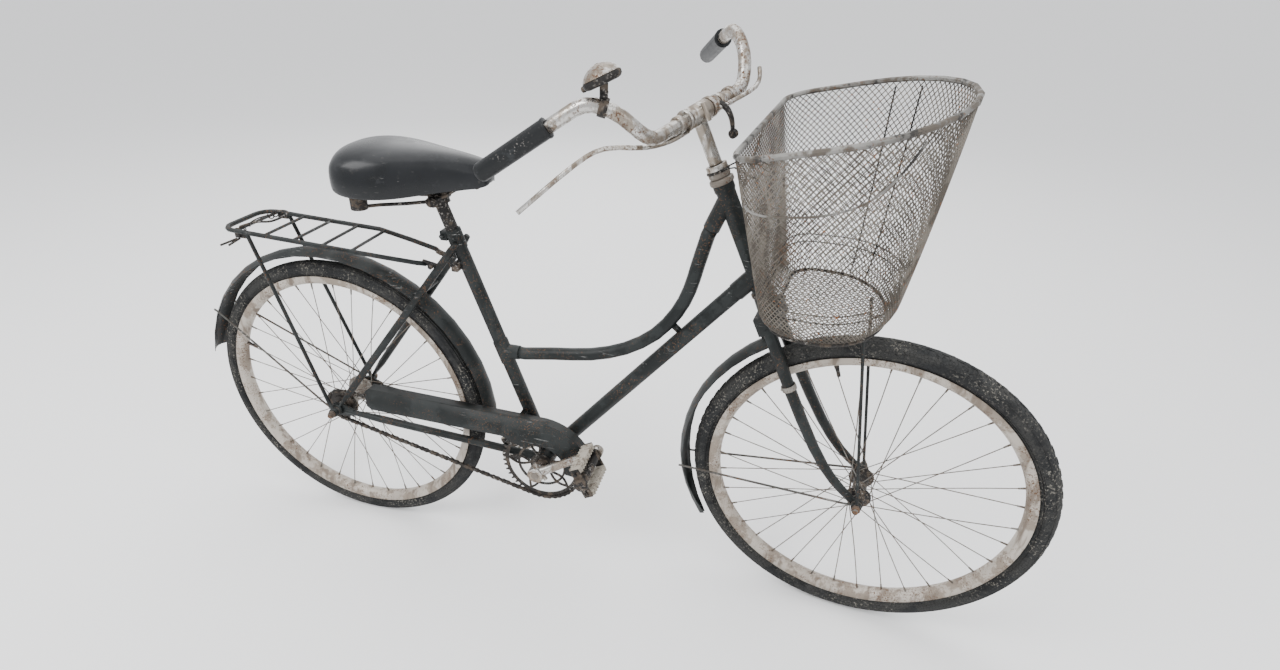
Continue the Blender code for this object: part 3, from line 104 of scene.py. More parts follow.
def bar_place(f, y, t):
    """A point from the middle of the handlebar, which sits askew in its stem."""
    forward = f * math.cos(BAR_TWIST) - y * math.sin(BAR_TWIST)
    left = f * math.sin(BAR_TWIST) + y * math.cos(BAR_TWIST)
    return head(STEM_HEIGHT + t, forward, left)


PIVOT = Matrix.Translation(head(HEAD_BOTTOM))
TURNED = LEVEL @ PIVOT @ Matrix.Rotation(STEER_REST, 4, HEAD_AXIS) @ PIVOT.inverted()
ACROSS = Matrix.Rotation(-PI / 2, 4, "X")  # local Z to the left


class BicycleSizes(bpy.types.PropertyGroup):
    """Sizes of the fine pieces."""

    spoke_radius: bpy.props.FloatProperty(
        name="Spoke Radius", description="Radius of each spoke", default=0.0010, min=0.0005, unit="LENGTH")
    spokes: bpy.props.IntProperty(name="Spokes", description="Spokes in each wheel", default=36, min=12)
    mesh_strands: bpy.props.IntProperty(
        name="Mesh Strands", description="Strands of each lay round the basket", default=112, min=24)
    mesh_rows: bpy.props.IntProperty(
        name="Mesh Rows", description="Diamonds from the basket's floor to its rim", default=30, min=6)
    mesh_radius: bpy.props.FloatProperty(
        name="Mesh Wire Radius", description="Radius of the basket's wire", default=0.00085, unit="LENGTH")
    tread_blocks: bpy.props.IntProperty(
        name="Tread Blocks", description="Blocks round the front tyre in each row", default=84, min=12)
    tread_depth: bpy.props.FloatProperty(
        name="Tread Depth", description="Depth of the front tyre's tread", default=0.0026, unit="LENGTH")
    chain_plate: bpy.props.FloatProperty(
        name="Chain Plate", description="Height of a chain plate at its pin", default=0.0082, unit="LENGTH")


class BicycleColours(bpy.types.PropertyGroup):
    """Colours of the finishes."""

    paint: bpy.props.FloatVectorProperty(
        name="Paint", description="The frame's faded black", subtype="COLOR", size=3,
        default=(0.006, 0.008, 0.008))
    chrome: bpy.props.FloatVectorProperty(
        name="Chrome", description="Worn chrome", subtype="COLOR", size=3, default=(0.40, 0.385, 0.36))
    rust: bpy.props.FloatVectorProperty(
        name="Rust", description="Brown rust", subtype="COLOR", size=3, default=(0.105, 0.056, 0.032))
    rim: bpy.props.FloatVectorProperty(
        name="Rim", description="The rims' dull plating", subtype="COLOR", size=3,
        default=(0.36, 0.32, 0.275))
    rubber: bpy.props.FloatVectorProperty(
        name="Rubber", description="Old tyre rubber", subtype="COLOR", size=3, default=(0.010, 0.0105, 0.011))
    wire: bpy.props.FloatVectorProperty(
        name="Wire", description="The basket's wire", subtype="COLOR", size=3, default=(0.115, 0.100, 0.082))
    dust: bpy.props.FloatVectorProperty(
        name="Dust", description="Dry dirt", subtype="COLOR", size=3, default=(0.22, 0.195, 0.165))


# Effects shared by the finishes


def socket_of(node, name):
    return next(s for s in node.inputs if s.name == name)


class Graph:
    """Adds and joins nodes of one tree."""

    def __init__(self, tree):
        self.tree = tree

    def node(self, kind, **settings):
        made = self.tree.nodes.new(kind)
        for name, value in settings.items():
            setattr(made, name, value)
        return made

    def join(self, source, target):
        self.tree.links.new(source, target)

    def feed(self, node, **values):
        for name, value in values.items():
            target = socket_of(node, name.replace("_", " "))
            if isinstance(value, bpy.types.NodeSocket):
                self.join(value, target)
            else:
                target.default_value = value
        return node

    def noise(self, vector, scale, detail=4.0, roughness=0.6):
        made = self.feed(self.node("ShaderNodeTexNoise"), Vector=vector, Detail=detail, Roughness=roughness)
        self.feed(made, Scale=scale)
        return made.outputs["Fac"]

    def ramp(self, value, low, high):
        """Zero below low, one above high."""
        made = self.node("ShaderNodeMapRange", interpolation_type="SMOOTHSTEP")
        self.feed(made, Value=value)
        for name, level in (("From Min", low), ("From Max", high)):
            if isinstance(level, bpy.types.NodeSocket):
                self.join(level, made.inputs[name])
            else:
                made.inputs[name].default_value = level
        return made.outputs["Result"]

    def math(self, operation, a, b=0.0):
        made = self.node("ShaderNodeMath", operation=operation)
        for target, value in zip(made.inputs, (a, b)):
            if isinstance(value, bpy.types.NodeSocket):
                self.join(value, target)
            else:
                target.default_value = value
        return made.outputs[0]

    def mix(self, mask, a, b, colour=False):
        made = self.node("ShaderNodeMix", data_type="RGBA" if colour else "FLOAT")
        kind = "RGBA" if colour else "VALUE"
        sockets = [s for s in made.inputs if s.enabled and s.type == kind]
        factor = made.inputs["Factor"]
        self.join(mask, factor)
        for target, value in zip([s for s in sockets if s.name in "AB"], (a, b)):
            if isinstance(value, bpy.types.NodeSocket):
                self.join(value, target)
            else:
                target.default_value = value
        return next(s for s in made.outputs if s.enabled and s.type == kind)


def effect(name, inputs):
    """An empty node group with float inputs and one mask, its graph, its inputs and the point it works on."""
    tree = bpy.data.node_groups.new(name, "ShaderNodeTree")
    for label, value in inputs.items():
        tree.interface.new_socket(label, in_out="INPUT", socket_type="NodeSocketFloat").default_value = value
    tree.interface.new_socket("Mask", in_out="OUTPUT", socket_type="NodeSocketFloat")
    graph = Graph(tree)
    given = graph.node("NodeGroupInput").outputs
    place = graph.node("ShaderNodeTexCoord").outputs["Object"]
    shifted = graph.node("ShaderNodeVectorMath", operation="ADD")
    graph.join(place, shifted.inputs[0])
    seed = graph.node("ShaderNodeCombineXYZ")
    for axis in "XYZ":
        graph.join(given["Seed"], seed.inputs[axis])
    graph.join(seed.outputs[0], shifted.inputs[1])
    return graph, given, shifted.outputs[0]


def end_effect(graph, mask):
    graph.join(mask, graph.node("NodeGroupOutput").inputs["Mask"])
    return graph.tree


def stretched(graph, place, scale):
    made = graph.node("ShaderNodeMapping")
    made.inputs["Scale"].default_value = scale
    graph.join(place, made.inputs["Vector"])
    return made.outputs[0]


def make_effects():
    """Patches, speckle, scratches, dust, streaks and cracks, each a group that puts out one mask."""
    made = {}
    graph, given, place = effect("Patches", {"Scale": 18.0, "Cover": 0.4, "Edge": 0.08, "Seed": 0.0})
    high = graph.math("SUBTRACT", 1.0, given["Cover"])
    large = graph.noise(place, given["Scale"], 7.0, 0.68)
    made["patches"] = end_effect(graph, graph.ramp(large, graph.math("SUBTRACT", high, given["Edge"]), high))

    graph, given, place = effect("Speckle", {"Scale": 300.0, "Cover": 0.35, "Edge": 0.06, "Seed": 0.0})
    high = graph.math("SUBTRACT", 1.0, given["Cover"])
    fine = graph.noise(place, given["Scale"], 3.0, 0.7)
    broad = graph.ramp(graph.noise(place, graph.math("MULTIPLY", given["Scale"], 0.06), 3.0), 0.42, 0.62)
    mask = graph.math("MULTIPLY", graph.ramp(fine, graph.math("SUBTRACT", high, given["Edge"]), high), broad)
    made["speckle"] = end_effect(graph, mask)

    graph, given, place = effect("Scratches", {"Scale": 60.0, "Cover": 0.32, "Edge": 0.03, "Seed": 0.0})
    high = graph.math("SUBTRACT", 1.0, given["Cover"])
    lines = graph.noise(stretched(graph, place, (0.25, 1.0, 3.2)), given["Scale"], 5.0, 0.75)
    where = graph.ramp(graph.noise(place, 9.0, 3.0), 0.50, 0.66)
    mask = graph.math("MULTIPLY", graph.ramp(lines, graph.math("SUBTRACT", high, given["Edge"]), high), where)
    made["scratches"] = end_effect(graph, mask)

    graph, given, place = effect("Dust", {"Scale": 26.0, "Cover": 0.5, "Edge": 0.5, "Seed": 0.0})
    up = graph.node("ShaderNodeSeparateXYZ")
    graph.join(graph.node("ShaderNodeNewGeometry").outputs["Normal"], up.inputs[0])
    settled = graph.ramp(up.outputs["Z"], 0.1, 1.0)
    broken = graph.ramp(graph.noise(place, given["Scale"], 6.0), 0.30, 0.72)
    mask = graph.math("MULTIPLY", graph.math("MULTIPLY", settled, broken), given["Cover"])
    made["dust"] = end_effect(graph, mask)

    graph, given, place = effect("Streaks", {"Scale": 45.0, "Cover": 0.4, "Edge": 0.16, "Seed": 0.0})
    high = graph.math("SUBTRACT", 1.0, given["Cover"])
    runs = graph.noise(stretched(graph, place, (1.0, 1.0, 0.14)), given["Scale"], 4.0, 0.6)
    made["streaks"] = end_effect(graph, graph.ramp(runs, graph.math("SUBTRACT", high, given["Edge"]), high))

    graph, given, place = effect("Cracks", {"Scale": 170.0, "Cover": 0.05, "Edge": 0.05, "Seed": 0.0})
    cells = graph.node("ShaderNodeTexVoronoi", feature="DISTANCE_TO_EDGE")
    graph.join(place, cells.inputs["Vector"])
    graph.join(given["Scale"], cells.inputs["Scale"])
    mask = graph.math("SUBTRACT", 1.0, graph.ramp(cells.outputs["Distance"], 0.0, given["Cover"]))
    made["cracks"] = end_effect(graph, mask)
    return made


# name: (base, second tone, roughness, metallic, coat, grain scale, grain depth, layers)
# layer: (effect, scale, cover, seed, colour, roughness, metallic)
def finish_table(colours):
    paint, chrome, rust = tuple(colours.paint), tuple(colours.chrome), tuple(colours.rust)
    rim, rubber, wire, dust = (tuple(colours.rim), tuple(colours.rubber), tuple(colours.wire),
                               tuple(colours.dust))
    orange, bare, grime = (0.26, 0.10, 0.032), (0.34, 0.33, 0.31), (0.050, 0.042, 0.034)
    return {
        "black_paint": (paint, (0.009, 0.011, 0.011), 0.38, 0.0, 0.0, 140, 0.10, [
            ("patches", 14, 0.44, 1.0, (0.016, 0.019, 0.019), 0.50, 0.0),
            ("dust", 22, 0.20, 2.0, (0.09, 0.092, 0.088), 0.80, 0.0),
            ("speckle", 260, 0.37, 3.0, rust, 0.85, 0.0),
            ("scratches", 70, 0.37, 4.0, (0.20, 0.20, 0.195), 0.60, 0.2)]),
        "worn_chrome": (chrome, (0.54, 0.53, 0.51), 0.19, 1.0, 0.0, 220, 0.05, [
            ("patches", 26, 0.45, 5.0, (0.27, 0.235, 0.195), 0.38, 0.85),
            ("streaks", 60, 0.36, 6.0, (0.17, 0.14, 0.11), 0.50, 0.6),
            ("speckle", 240, 0.42, 7.0, rust, 0.85, 0.1),
            ("patches", 60, 0.29, 8.0, rust, 0.85, 0.1)]),
        "rusty_steel": ((0.048, 0.038, 0.031), (0.090, 0.070, 0.056), 0.70, 0.40, 0.0, 260, 0.25, [
            ("patches", 40, 0.46, 9.0, (0.105, 0.062, 0.038), 0.90, 0.1),
            ("speckle", 320, 0.38, 10.0, orange, 0.90, 0.0),
            ("dust", 30, 0.35, 11.0, dust, 0.9, 0.0)]),
        "dull_steel": ((0.20, 0.188, 0.17), (0.31, 0.295, 0.27), 0.38, 0.85, 0.0, 240, 0.12, [
            ("patches", 34, 0.48, 12.0, (0.17, 0.148, 0.125), 0.62, 0.4),
            ("speckle", 300, 0.40, 13.0, rust, 0.9, 0.1),
            ("dust", 40, 0.3, 14.0, dust, 0.9, 0.0)]),
        "rim_plating": (rim, (0.46, 0.42, 0.37), 0.46, 0.35, 0.0, 260, 0.08, [
            ("patches", 22, 0.44, 15.0, (0.25, 0.21, 0.17), 0.66, 0.2),
            ("streaks", 50, 0.34, 16.0, (0.18, 0.145, 0.115), 0.72, 0.2),
            ("speckle", 280, 0.40, 17.0, rust, 0.9, 0.0),
            ("patches", 70, 0.27, 18.0, grime, 0.9, 0.0)]),
        "spoke_steel": ((0.14, 0.132, 0.12), (0.24, 0.23, 0.21), 0.42, 0.9, 0.0, 300, 0.05, [
            ("patches", 40, 0.50, 19.0, (0.11, 0.088, 0.07), 0.75, 0.3),
            ("speckle", 260, 0.38, 20.0, rust, 0.9, 0.0)]),
        "tyre": (rubber, (0.020, 0.021, 0.022), 0.72, 0.0, 0.0, 160, 0.25, [
            ("patches", 16, 0.46, 21.0, (0.030, 0.030, 0.029), 0.84, 0.0),
            ("dust", 60, 0.30, 22.0, (0.12, 0.12, 0.115), 0.95, 0.0),
            ("cracks", 190, 0.05, 23.0, (0.008, 0.008, 0.008), 0.95, 0.0),
            ("speckle", 220, 0.38, 24.0, (0.16, 0.15, 0.13), 0.95, 0.0)]),
        "grip_rubber": ((0.005, 0.006, 0.007), (0.010, 0.011, 0.012), 0.42, 0.0, 0.0, 320, 0.15, [
            ("patches", 40, 0.36, 25.0, (0.022, 0.024, 0.026), 0.60, 0.0),
            ("speckle", 260, 0.33, 26.0, (0.16, 0.15, 0.14), 0.8, 0.0)]),
        "saddle_cover": ((0.005, 0.006, 0.007), (0.009, 0.010, 0.012), 0.24, 0.0, 0.15, 420, 0.08, [
            ("patches", 20, 0.36, 27.0, (0.014, 0.015, 0.017), 0.36, 0.0),
            ("dust", 30, 0.06, 28.0, (0.12, 0.12, 0.12), 0.7, 0.0),
            ("scratches", 80, 0.33, 29.0, (0.12, 0.115, 0.11), 0.7, 0.0)]),
        "mesh_steel": (wire, (0.185, 0.165, 0.138), 0.55, 0.20, 0.0, 400, 0.08, [
            ("patches", 16, 0.46, 30.0, (0.075, 0.064, 0.052), 0.72, 0.1),
            ("patches", 11, 0.33, 31.0, (0.085, 0.055, 0.036), 0.85, 0.0),
            ("speckle", 150, 0.34, 32.0, orange, 0.9, 0.0)]),
        "rim_wire": ((0.11, 0.105, 0.097), (0.25, 0.245, 0.23), 0.48, 0.25, 0.0, 300, 0.10, [
            ("patches", 26, 0.44, 33.0, (0.085, 0.072, 0.058), 0.7, 0.1),
            ("patches", 40, 0.38, 34.0, (0.030, 0.028, 0.026), 0.8, 0.1),
            ("speckle", 200, 0.36, 35.0, rust, 0.9, 0.0)]),
        "dark_grease": ((0.012, 0.010, 0.009), (0.028, 0.024, 0.020), 0.45, 0.5, 0.0, 300, 0.25, [
            ("patches", 60, 0.42, 36.0, (0.060, 0.046, 0.035), 0.85, 0.1),
            ("speckle", 300, 0.37, 37.0, bare, 0.55, 0.7)]),
        "pedal_block": ((0.27, 0.24, 0.20), (0.36, 0.33, 0.28), 0.78, 0.0, 0.0, 180, 0.25, [
            ("patches", 44, 0.42, 38.0, (0.14, 0.115, 0.09), 0.9, 0.0),
            ("speckle", 240, 0.36, 39.0, grime, 0.95, 0.0)]),
        "dark_steel": ((0.011, 0.010, 0.010), (0.024, 0.022, 0.020), 0.50, 0.5, 0.0, 240, 0.20, [
            ("patches", 50, 0.42, 40.0, (0.075, 0.058, 0.044), 0.85, 0.1),
            ("speckle", 260, 0.38, 41.0, (0.27, 0.25, 0.23), 0.7, 0.3)]),
        "guard_steel": ((0.055, 0.055, 0.050), (0.105, 0.10, 0.092), 0.55, 0.3, 0.0, 240, 0.12, [
            ("patches", 50, 0.48, 42.0, (0.050, 0.046, 0.040), 0.75, 0.1),
            ("speckle", 240, 0.42, 43.0, rust, 0.85, 0.0),
            ("scratches", 70, 0.40, 44.0, (0.30, 0.29, 0.27), 0.5, 0.3)]),
    }


def finish_of(name, spec, effects):
    base, tone, roughness, metallic, coat, grain, depth, layers = spec
    made = bpy.data.materials.new(name)
    made.use_nodes = True
    graph = Graph(made.node_tree)
    shader = made.node_tree.nodes["Principled BSDF"]
    place = graph.node("ShaderNodeTexCoord").outputs["Object"]
    drift = graph.ramp(graph.noise(place, 9.0, 3.0), 0.32, 0.70)
    colour = graph.mix(drift, (*base, 1), (*tone, 1), True)
    gloss = graph.mix(drift, roughness, min(1.0, roughness + 0.10))
    metal = metallic
    masks = []
    for kind, scale, cover, seed, tint, layer_roughness, layer_metal in layers:
        layer = graph.node("ShaderNodeGroup", node_tree=effects[kind])
        graph.feed(layer, Scale=float(scale), Cover=cover, Seed=seed)
        mask = layer.outputs["Mask"]
        colour = graph.mix(mask, colour, (*tint, 1), True)
        gloss = graph.mix(mask, gloss, layer_roughness)
        if isinstance(metal, bpy.types.NodeSocket) or layer_metal != metal:
            metal = graph.mix(mask, metal, layer_metal)
        masks.append(mask)
    graph.join(colour, shader.inputs["Base Color"])
    graph.join(gloss, shader.inputs["Roughness"])
    if isinstance(metal, bpy.types.NodeSocket):
        graph.join(metal, shader.inputs["Metallic"])
    else:
        shader.inputs["Metallic"].default_value = metal
    shader.inputs["Coat Weight"].default_value = coat
    shader.inputs["Coat Roughness"].default_value = 0.18
    shader.inputs["Specular IOR Level"].default_value = 0.22 if metallic == 0 else 0.4
    height = graph.math("MULTIPLY", graph.noise(place, float(grain), 5.0, 0.65), depth)
    height = graph.math("ADD", height, graph.math("MULTIPLY", masks[-1], 0.25 * depth))
    bump = graph.node("ShaderNodeBump")
    bump.inputs["Strength"].default_value = 0.55
    bump.inputs["Distance"].default_value = 0.0016
    graph.join(height, bump.inputs["Height"])
    graph.join(bump.outputs["Normal"], shader.inputs["Normal"])
    return made


FINISHES = {}


def finish(name):
    """The named finish, made once."""
    if not FINISHES:
        effects = make_effects()
        for label, spec in finish_table(bpy.context.scene.bicycle_colours).items():
            FINISHES[label] = finish_of(label, spec, effects)
        wear_saddle(FINISHES["saddle_cover"])
    return FINISHES[name]


def wear_saddle(made):
    """A worn grey patch low on the saddle's right side."""
    graph = Graph(made.node_tree)
    shader = made.node_tree.nodes["Principled BSDF"]
    place = graph.node("ShaderNodeTexCoord").outputs["Object"]
    mapped = graph.node("ShaderNodeMapping")
    mapped.vector_type = "POINT"
    mapped.inputs["Location"].default_value = (-0.25, 5.2, 2.3)
    mapped.inputs["Scale"].default_value = (16.0, 50.0, 28.0)
    graph.join(place, mapped.inputs["Vector"])
    ball = graph.node("ShaderNodeTexGradient", gradient_type="SPHERICAL")
    graph.join(mapped.outputs[0], ball.inputs[0])
    ragged = graph.math("ADD", ball.outputs["Fac"],
                        graph.math("MULTIPLY", graph.noise(place, 48.0, 8.0, 0.75), 1.1))
    mask = graph.math("MULTIPLY", graph.ramp(ragged, 0.66, 0.92), 0.8)
    for name, value in (("Base Color", (0.105, 0.097, 0.085, 1)), ("Roughness", 0.80)):
        target = shader.inputs[name]
        source = target.links[0].from_socket
        graph.join(graph.mix(mask, source, value, name == "Base Color"), target)


# Shapes


def add(whole, shape, place=None):
    """Moves a shape into another, at a place."""
    if place is not None:
        bmesh.ops.transform(shape, matrix=place, verts=shape.verts)
        if place.determinant() < 0:
            bmesh.ops.reverse_faces(shape, faces=shape.faces)
    mesh = bpy.data.meshes.new("loose")
    shape.to_mesh(mesh)
    shape.free()
    whole.from_mesh(mesh)
    bpy.data.meshes.remove(mesh)


def aim(point, direction):
    """A place at a point with its Z along a direction."""
    return Matrix.Translation(point) @ Vector(direction).to_track_quat("Z", "Y").to_matrix().to_4x4()


def sharp_edges(shape, least=0.6):
    return [e for e in shape.edges if len(e.link_faces) == 2 and e.calc_face_angle(0) > least]


def softened(shape, width, segments=2, least=0.6):
    bmesh.ops.bevel(shape, geom=sharp_edges(shape, least), offset=width, segments=segments, profile=0.5,
                    affect="EDGES", material=-1)
    return shape


def drum(whole, point, direction, radius, length, top=None, sides=24, bevel=0.0):
    """A round bar or cone that starts at a point."""
    shape = bmesh.new()
    bmesh.ops.create_cone(shape, cap_ends=True, segments=sides, radius1=radius,
                          radius2=radius if top is None else top, depth=length,
                          matrix=Matrix.Translation((0, 0, length / 2)))
    if bevel:
        softened(shape, bevel, least=1.2 if sides > 6 else 0.6)
    add(whole, shape, aim(point, direction))


def bar(whole, a, b, radius, sides=16, bevel=0.0):
    drum(whole, a, b - a, radius, (b - a).length, None, sides, bevel)


def block(whole, place, sizes, bevel=0.0):
    shape = bmesh.new()
    bmesh.ops.create_cube(shape, size=1, matrix=Matrix.Diagonal((*sizes, 1)))
    if bevel:
        softened(shape, bevel)
    add(whole, shape, place)


def turned(whole, profile, place, steps=64):
    """An outline of (radius, height) spun round a place's Z. It is closed where it ends as it starts."""
    shape = bmesh.new()
    closed = profile[0] == profile[-1]
    points = [shape.verts.new((r, 0, h)) for r, h in profile[: len(profile) - closed]]
    pairs = list(zip(points, points[1:])) + ([(points[-1], points[0])] if closed else [])
    edges = [shape.edges.new(pair) for pair in pairs]
    bmesh.ops.spin(shape, geom=points + edges, cent=(0, 0, 0), axis=(0, 0, 1), angle=2 * PI, steps=steps,
                   use_merge=True)
    bmesh.ops.remove_doubles(shape, verts=shape.verts, dist=1e-6)
    bmesh.ops.recalc_face_normals(shape, faces=shape.faces)
    add(whole, shape, place)


def wires(whole, paths, radius, sides=8, closed=False, place=None, smooth=False):
    """Round wire along each path, by way of one curve. A path's points may carry a radius factor."""
    data = bpy.data.curves.new("wires", "CURVE")
    data.dimensions = "3D"
    data.bevel_depth = radius
    data.bevel_resolution = max(0, sides // 2 - 2)
    data.use_fill_caps = True
    for path in paths:
        spline = data.splines.new("NURBS" if smooth else "POLY")
        spline.points.add(len(path) - 1)
        for point, at in zip(spline.points, path):
            point.co = (*at[:3], 1)
            point.radius = at[3] if len(at) > 3 else 1.0
        spline.use_cyclic_u = closed
        if smooth:
            spline.order_u = 4
            spline.use_endpoint_u = not closed
            spline.resolution_u = 6
    guide = bpy.data.objects.new("wires", data)
    bpy.context.scene.collection.objects.link(guide)
    mesh = bpy.data.meshes.new_from_object(guide.evaluated_get(bpy.context.evaluated_depsgraph_get()))
    bpy.data.objects.remove(guide)
    shape = bmesh.new()
    shape.from_mesh(mesh)
    bpy.data.meshes.remove(mesh)
    bmesh.ops.remove_doubles(shape, verts=shape.verts, dist=1e-6)
    add(whole, shape, place)


def ring_copies(shape, count):
    """Repeats a shape round the Z axis."""
    geom = list(shape.verts) + list(shape.edges) + list(shape.faces)
    bmesh.ops.spin(shape, geom=geom, cent=(0, 0, 0), axis=(0, 0, 1), angle=2 * PI * (count - 1) / count,
                   steps=count - 1, use_duplicate=True)
    return shape


def piece(name, shape, finish_name, body, replaces=(), place=None, sharp=45.0):
    """A finished piece that rides on a body."""
    if place is not None:
        bmesh.ops.transform(shape, matrix=place, verts=shape.verts)
    mesh = bpy.data.meshes.new(name)
    shape.to_mesh(mesh)
    shape.free()
    mesh.materials.append(finish(finish_name))
    mesh.shade_smooth()
    mesh.set_sharp_from_angle(angle=math.radians(sharp))
    made = bpy.data.objects.new(name, mesh)
    bpy.context.scene.collection.objects.link(made)
    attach(made, body)
    if replaces:
        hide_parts(*replaces)
    return made


# node: finish and bevel width of the solids that keep their own form
CARRIED = {
    "head_tube": ("black_paint", 0.0006), "headset_lower_cup": ("dark_steel", 0.0004),
    "headset_upper_cup": ("dull_steel", 0.0004), "down_tube": ("black_paint", 0),
    "loop_tube": ("black_paint", 0),
    "frame_strut": ("black_paint", 0), "seat_tube": ("black_paint", 0.0006),
    "bottom_bracket": ("black_paint", 0.0006),
    "chain_stay_right": ("black_paint", 0.0005), "chain_stay_left": ("black_paint", 0.0005),
    "seat_stay_right": ("black_paint", 0), "seat_stay_left": ("black_paint", 0),
    "chain_stay_bridge": ("black_paint", 0), "seat_stay_bridge": ("black_paint", 0),
    "seat_post": ("dark_steel", 0.0008), "saddle_frame": ("dark_steel", 0),
    "chain_guard": ("black_paint", 0), "rear_mudguard": ("black_paint", 0),
    "rear_mudguard_stay_right": ("guard_steel", 0), "rear_mudguard_stay_left": ("guard_steel", 0),
    "rear_rack": ("black_paint", 0), "rear_axle": ("rusty_steel", 0.0004), "fork": ("black_paint", 0.0006),
    "headset_cone": ("dull_steel", 0.0004), "headset_locknut": ("worn_chrome", 0.0006),
    "stem": ("worn_chrome", 0.0006), "handlebar": ("worn_chrome", 0), "grip_right": ("grip_rubber", 0.0008),
    "grip_left": ("grip_rubber", 0.0008), "brake_lever_right": ("worn_chrome", 0),
    "brake_lever_left": ("worn_chrome", 0), "basket_rim": ("rim_wire", 0),
    "basket_strut_right": ("black_paint", 0),
    "basket_strut_left": ("black_paint", 0), "basket_bracket": ("dark_steel", 0),
    "front_mudguard": ("black_paint", 0), "front_mudguard_stay_right": ("guard_steel", 0),
    "front_mudguard_stay_left": ("guard_steel", 0), "front_axle": ("rusty_steel", 0.0004),
    "crank_spindle": ("dull_steel", 0.0004), "crank_right": ("worn_chrome", 0.0008),
    "crank_left": ("worn_chrome", 0.0008),
}
BODY_OF = {node: body for body, nodes in frame["record"]["behaviour"]["bodies"].items() for node in nodes}


class BICYCLE_OT_solids(bpy.types.Operator):
    """Give each solid that keeps its form smooth shading, softened edges and its finish"""

    bl_idname = "bicycle.solids"
    bl_label = "Frame Solids"

    def execute(self, context):
        for node, (finish_name, bevel) in CARRIED.items():
            shape = bmesh.new()
            shape.from_mesh(frame["nodes"][node].data)
            bmesh.ops.remove_doubles(shape, verts=shape.verts, dist=2e-6)
            bmesh.ops.dissolve_limit(shape, angle_limit=math.radians(0.5), verts=shape.verts,
                                     edges=shape.edges)
            bmesh.ops.triangulate(shape, faces=[f for f in shape.faces if len(f.verts) > 4])
            if bevel:
                bmesh.ops.bevel(shape, geom=sharp_edges(shape, 0.95), offset=bevel, segments=2, profile=0.5,
                                affect="EDGES", material=-1, clamp_overlap=True)
            piece(node + "_finished", shape, finish_name, BODY_OF[node], [node],
                  sharp=44.0)
        return {"FINISHED"}


# Wheels


def smooth_line(points, steps):
    """Points on a smooth line through the given ones."""
    points = [Vector(p) for p in points]
    ends = [2 * points[0] - points[1], *points, 2 * points[-1] - points[-2]]
    line = []
    for a, b, c, d in zip(ends, ends[1:], ends[2:], ends[3:]):
        for k in range(steps):
            t = k / steps
            line.append(0.5 * (2 * b + (c - a) * t + (2 * a - 5 * b + 4 * c - d) * t**2
                               + (3 * b - a - 3 * c + d) * t**3))
    return line + [points[-1]]


RIM_LINE = [  # (in from the edge, half width) from the left edge over the well to the right edge
    (0.0000, 0.0134), (0.0000, 0.0148), (0.0020, 0.0150), (0.0105, 0.0150), (0.0135, 0.0140),
    (0.0170, 0.0098),
    (0.0196, 0.0056), (0.0205, 0.0030)]


def rim_line():
    outer = [(RIM_EDGE - d, y) for d, y in RIM_LINE]
    inner = [(RIM_EDGE - 0.0075, 0.0124), (RIM_EDGE - 0.0010, 0.0128)]
    line = outer + [(r, -y) for r, y in reversed(outer)]
    line += [(r, -y) for r, y in reversed(inner)] + inner
    return line + [line[0]]


def wheel_spokes(whole, flange, flange_radius, sizes):
    paths = []
    per_side = sizes.spokes
    for k in range(per_side):
        side = 1 if k % 2 else -1
        lean = 1 if k % 4 < 2 else -1
        rim_angle = 2 * PI * k / per_side
        hub_angle = rim_angle + lean * math.radians(62)
        z = side * (flange + lean * 0.0020)
        start = Vector((math.cos(hub_angle) * flange_radius, math.sin(hub_angle) * flange_radius, z))
        far = RIM_EDGE - RIM_DEPTH - 0.001
        end = Vector((math.cos(rim_angle) * far, math.sin(rim_angle) * far, side * 0.003))
        sway = Vector((0, 0, 0.0016 * math.sin(7.3 * k))) + (start - end).cross(Z).normalized() * 0.0020 * math.cos(5.1 * k)
        middle = start.lerp(end, 0.5) + sway
        elbow = start - Vector((0, 0, lean * side * 0.0045))
        paths.append([elbow, start, start.lerp(middle, 0.5) + sway * 0.25, middle,
                      middle.lerp(end, 0.5) + sway * 0.25,
                      end])
        drum(whole, end + (start - end).normalized() * 0.011, end - start, 0.0016, 0.0135, 0.0021, 8)
        drum(whole, elbow, (elbow - start), 0.0019, 0.0010, 0.0012, 8)
    wires(whole, paths, sizes.spoke_radius, 6)


HUBS = {  # half width, flange place, flange radius, barrel radius
    "rear": (0.0577, 0.031, 0.032, 0.019),
    "front": (0.0477, 0.030, 0.024, 0.014),
}


HUB_FINISHES = {"rear": "dull_steel", "front": "dark_steel"}


def hub_line(half, flange, flange_radius, barrel):
    line = [(0.0056, half), (0.0085, half), (0.0092, half - 0.0010), (0.0105, flange + 0.0075),
            (0.0125, flange + 0.0060), (0.0150, flange + 0.0034), (flange_radius - 0.0030, flange + 0.0024),
            (flange_radius - 0.0008, flange + 0.0026), (flange_radius, flange + 0.0014),
            (flange_radius, flange - 0.0014), (flange_radius - 0.0010, flange - 0.0026),
            (barrel + 0.0040, flange - 0.0028), (barrel + 0.0010, flange - 0.0050), (barrel, flange - 0.0090),
            (barrel - 0.0006, 0.0)]
    line += [(r, -h) for r, h in reversed(line[:-1])]
    return line + [line[0]]


WHEELS = (("rear", REAR_AXLE, LEVEL), ("front", FRONT_AXLE, TURNED))


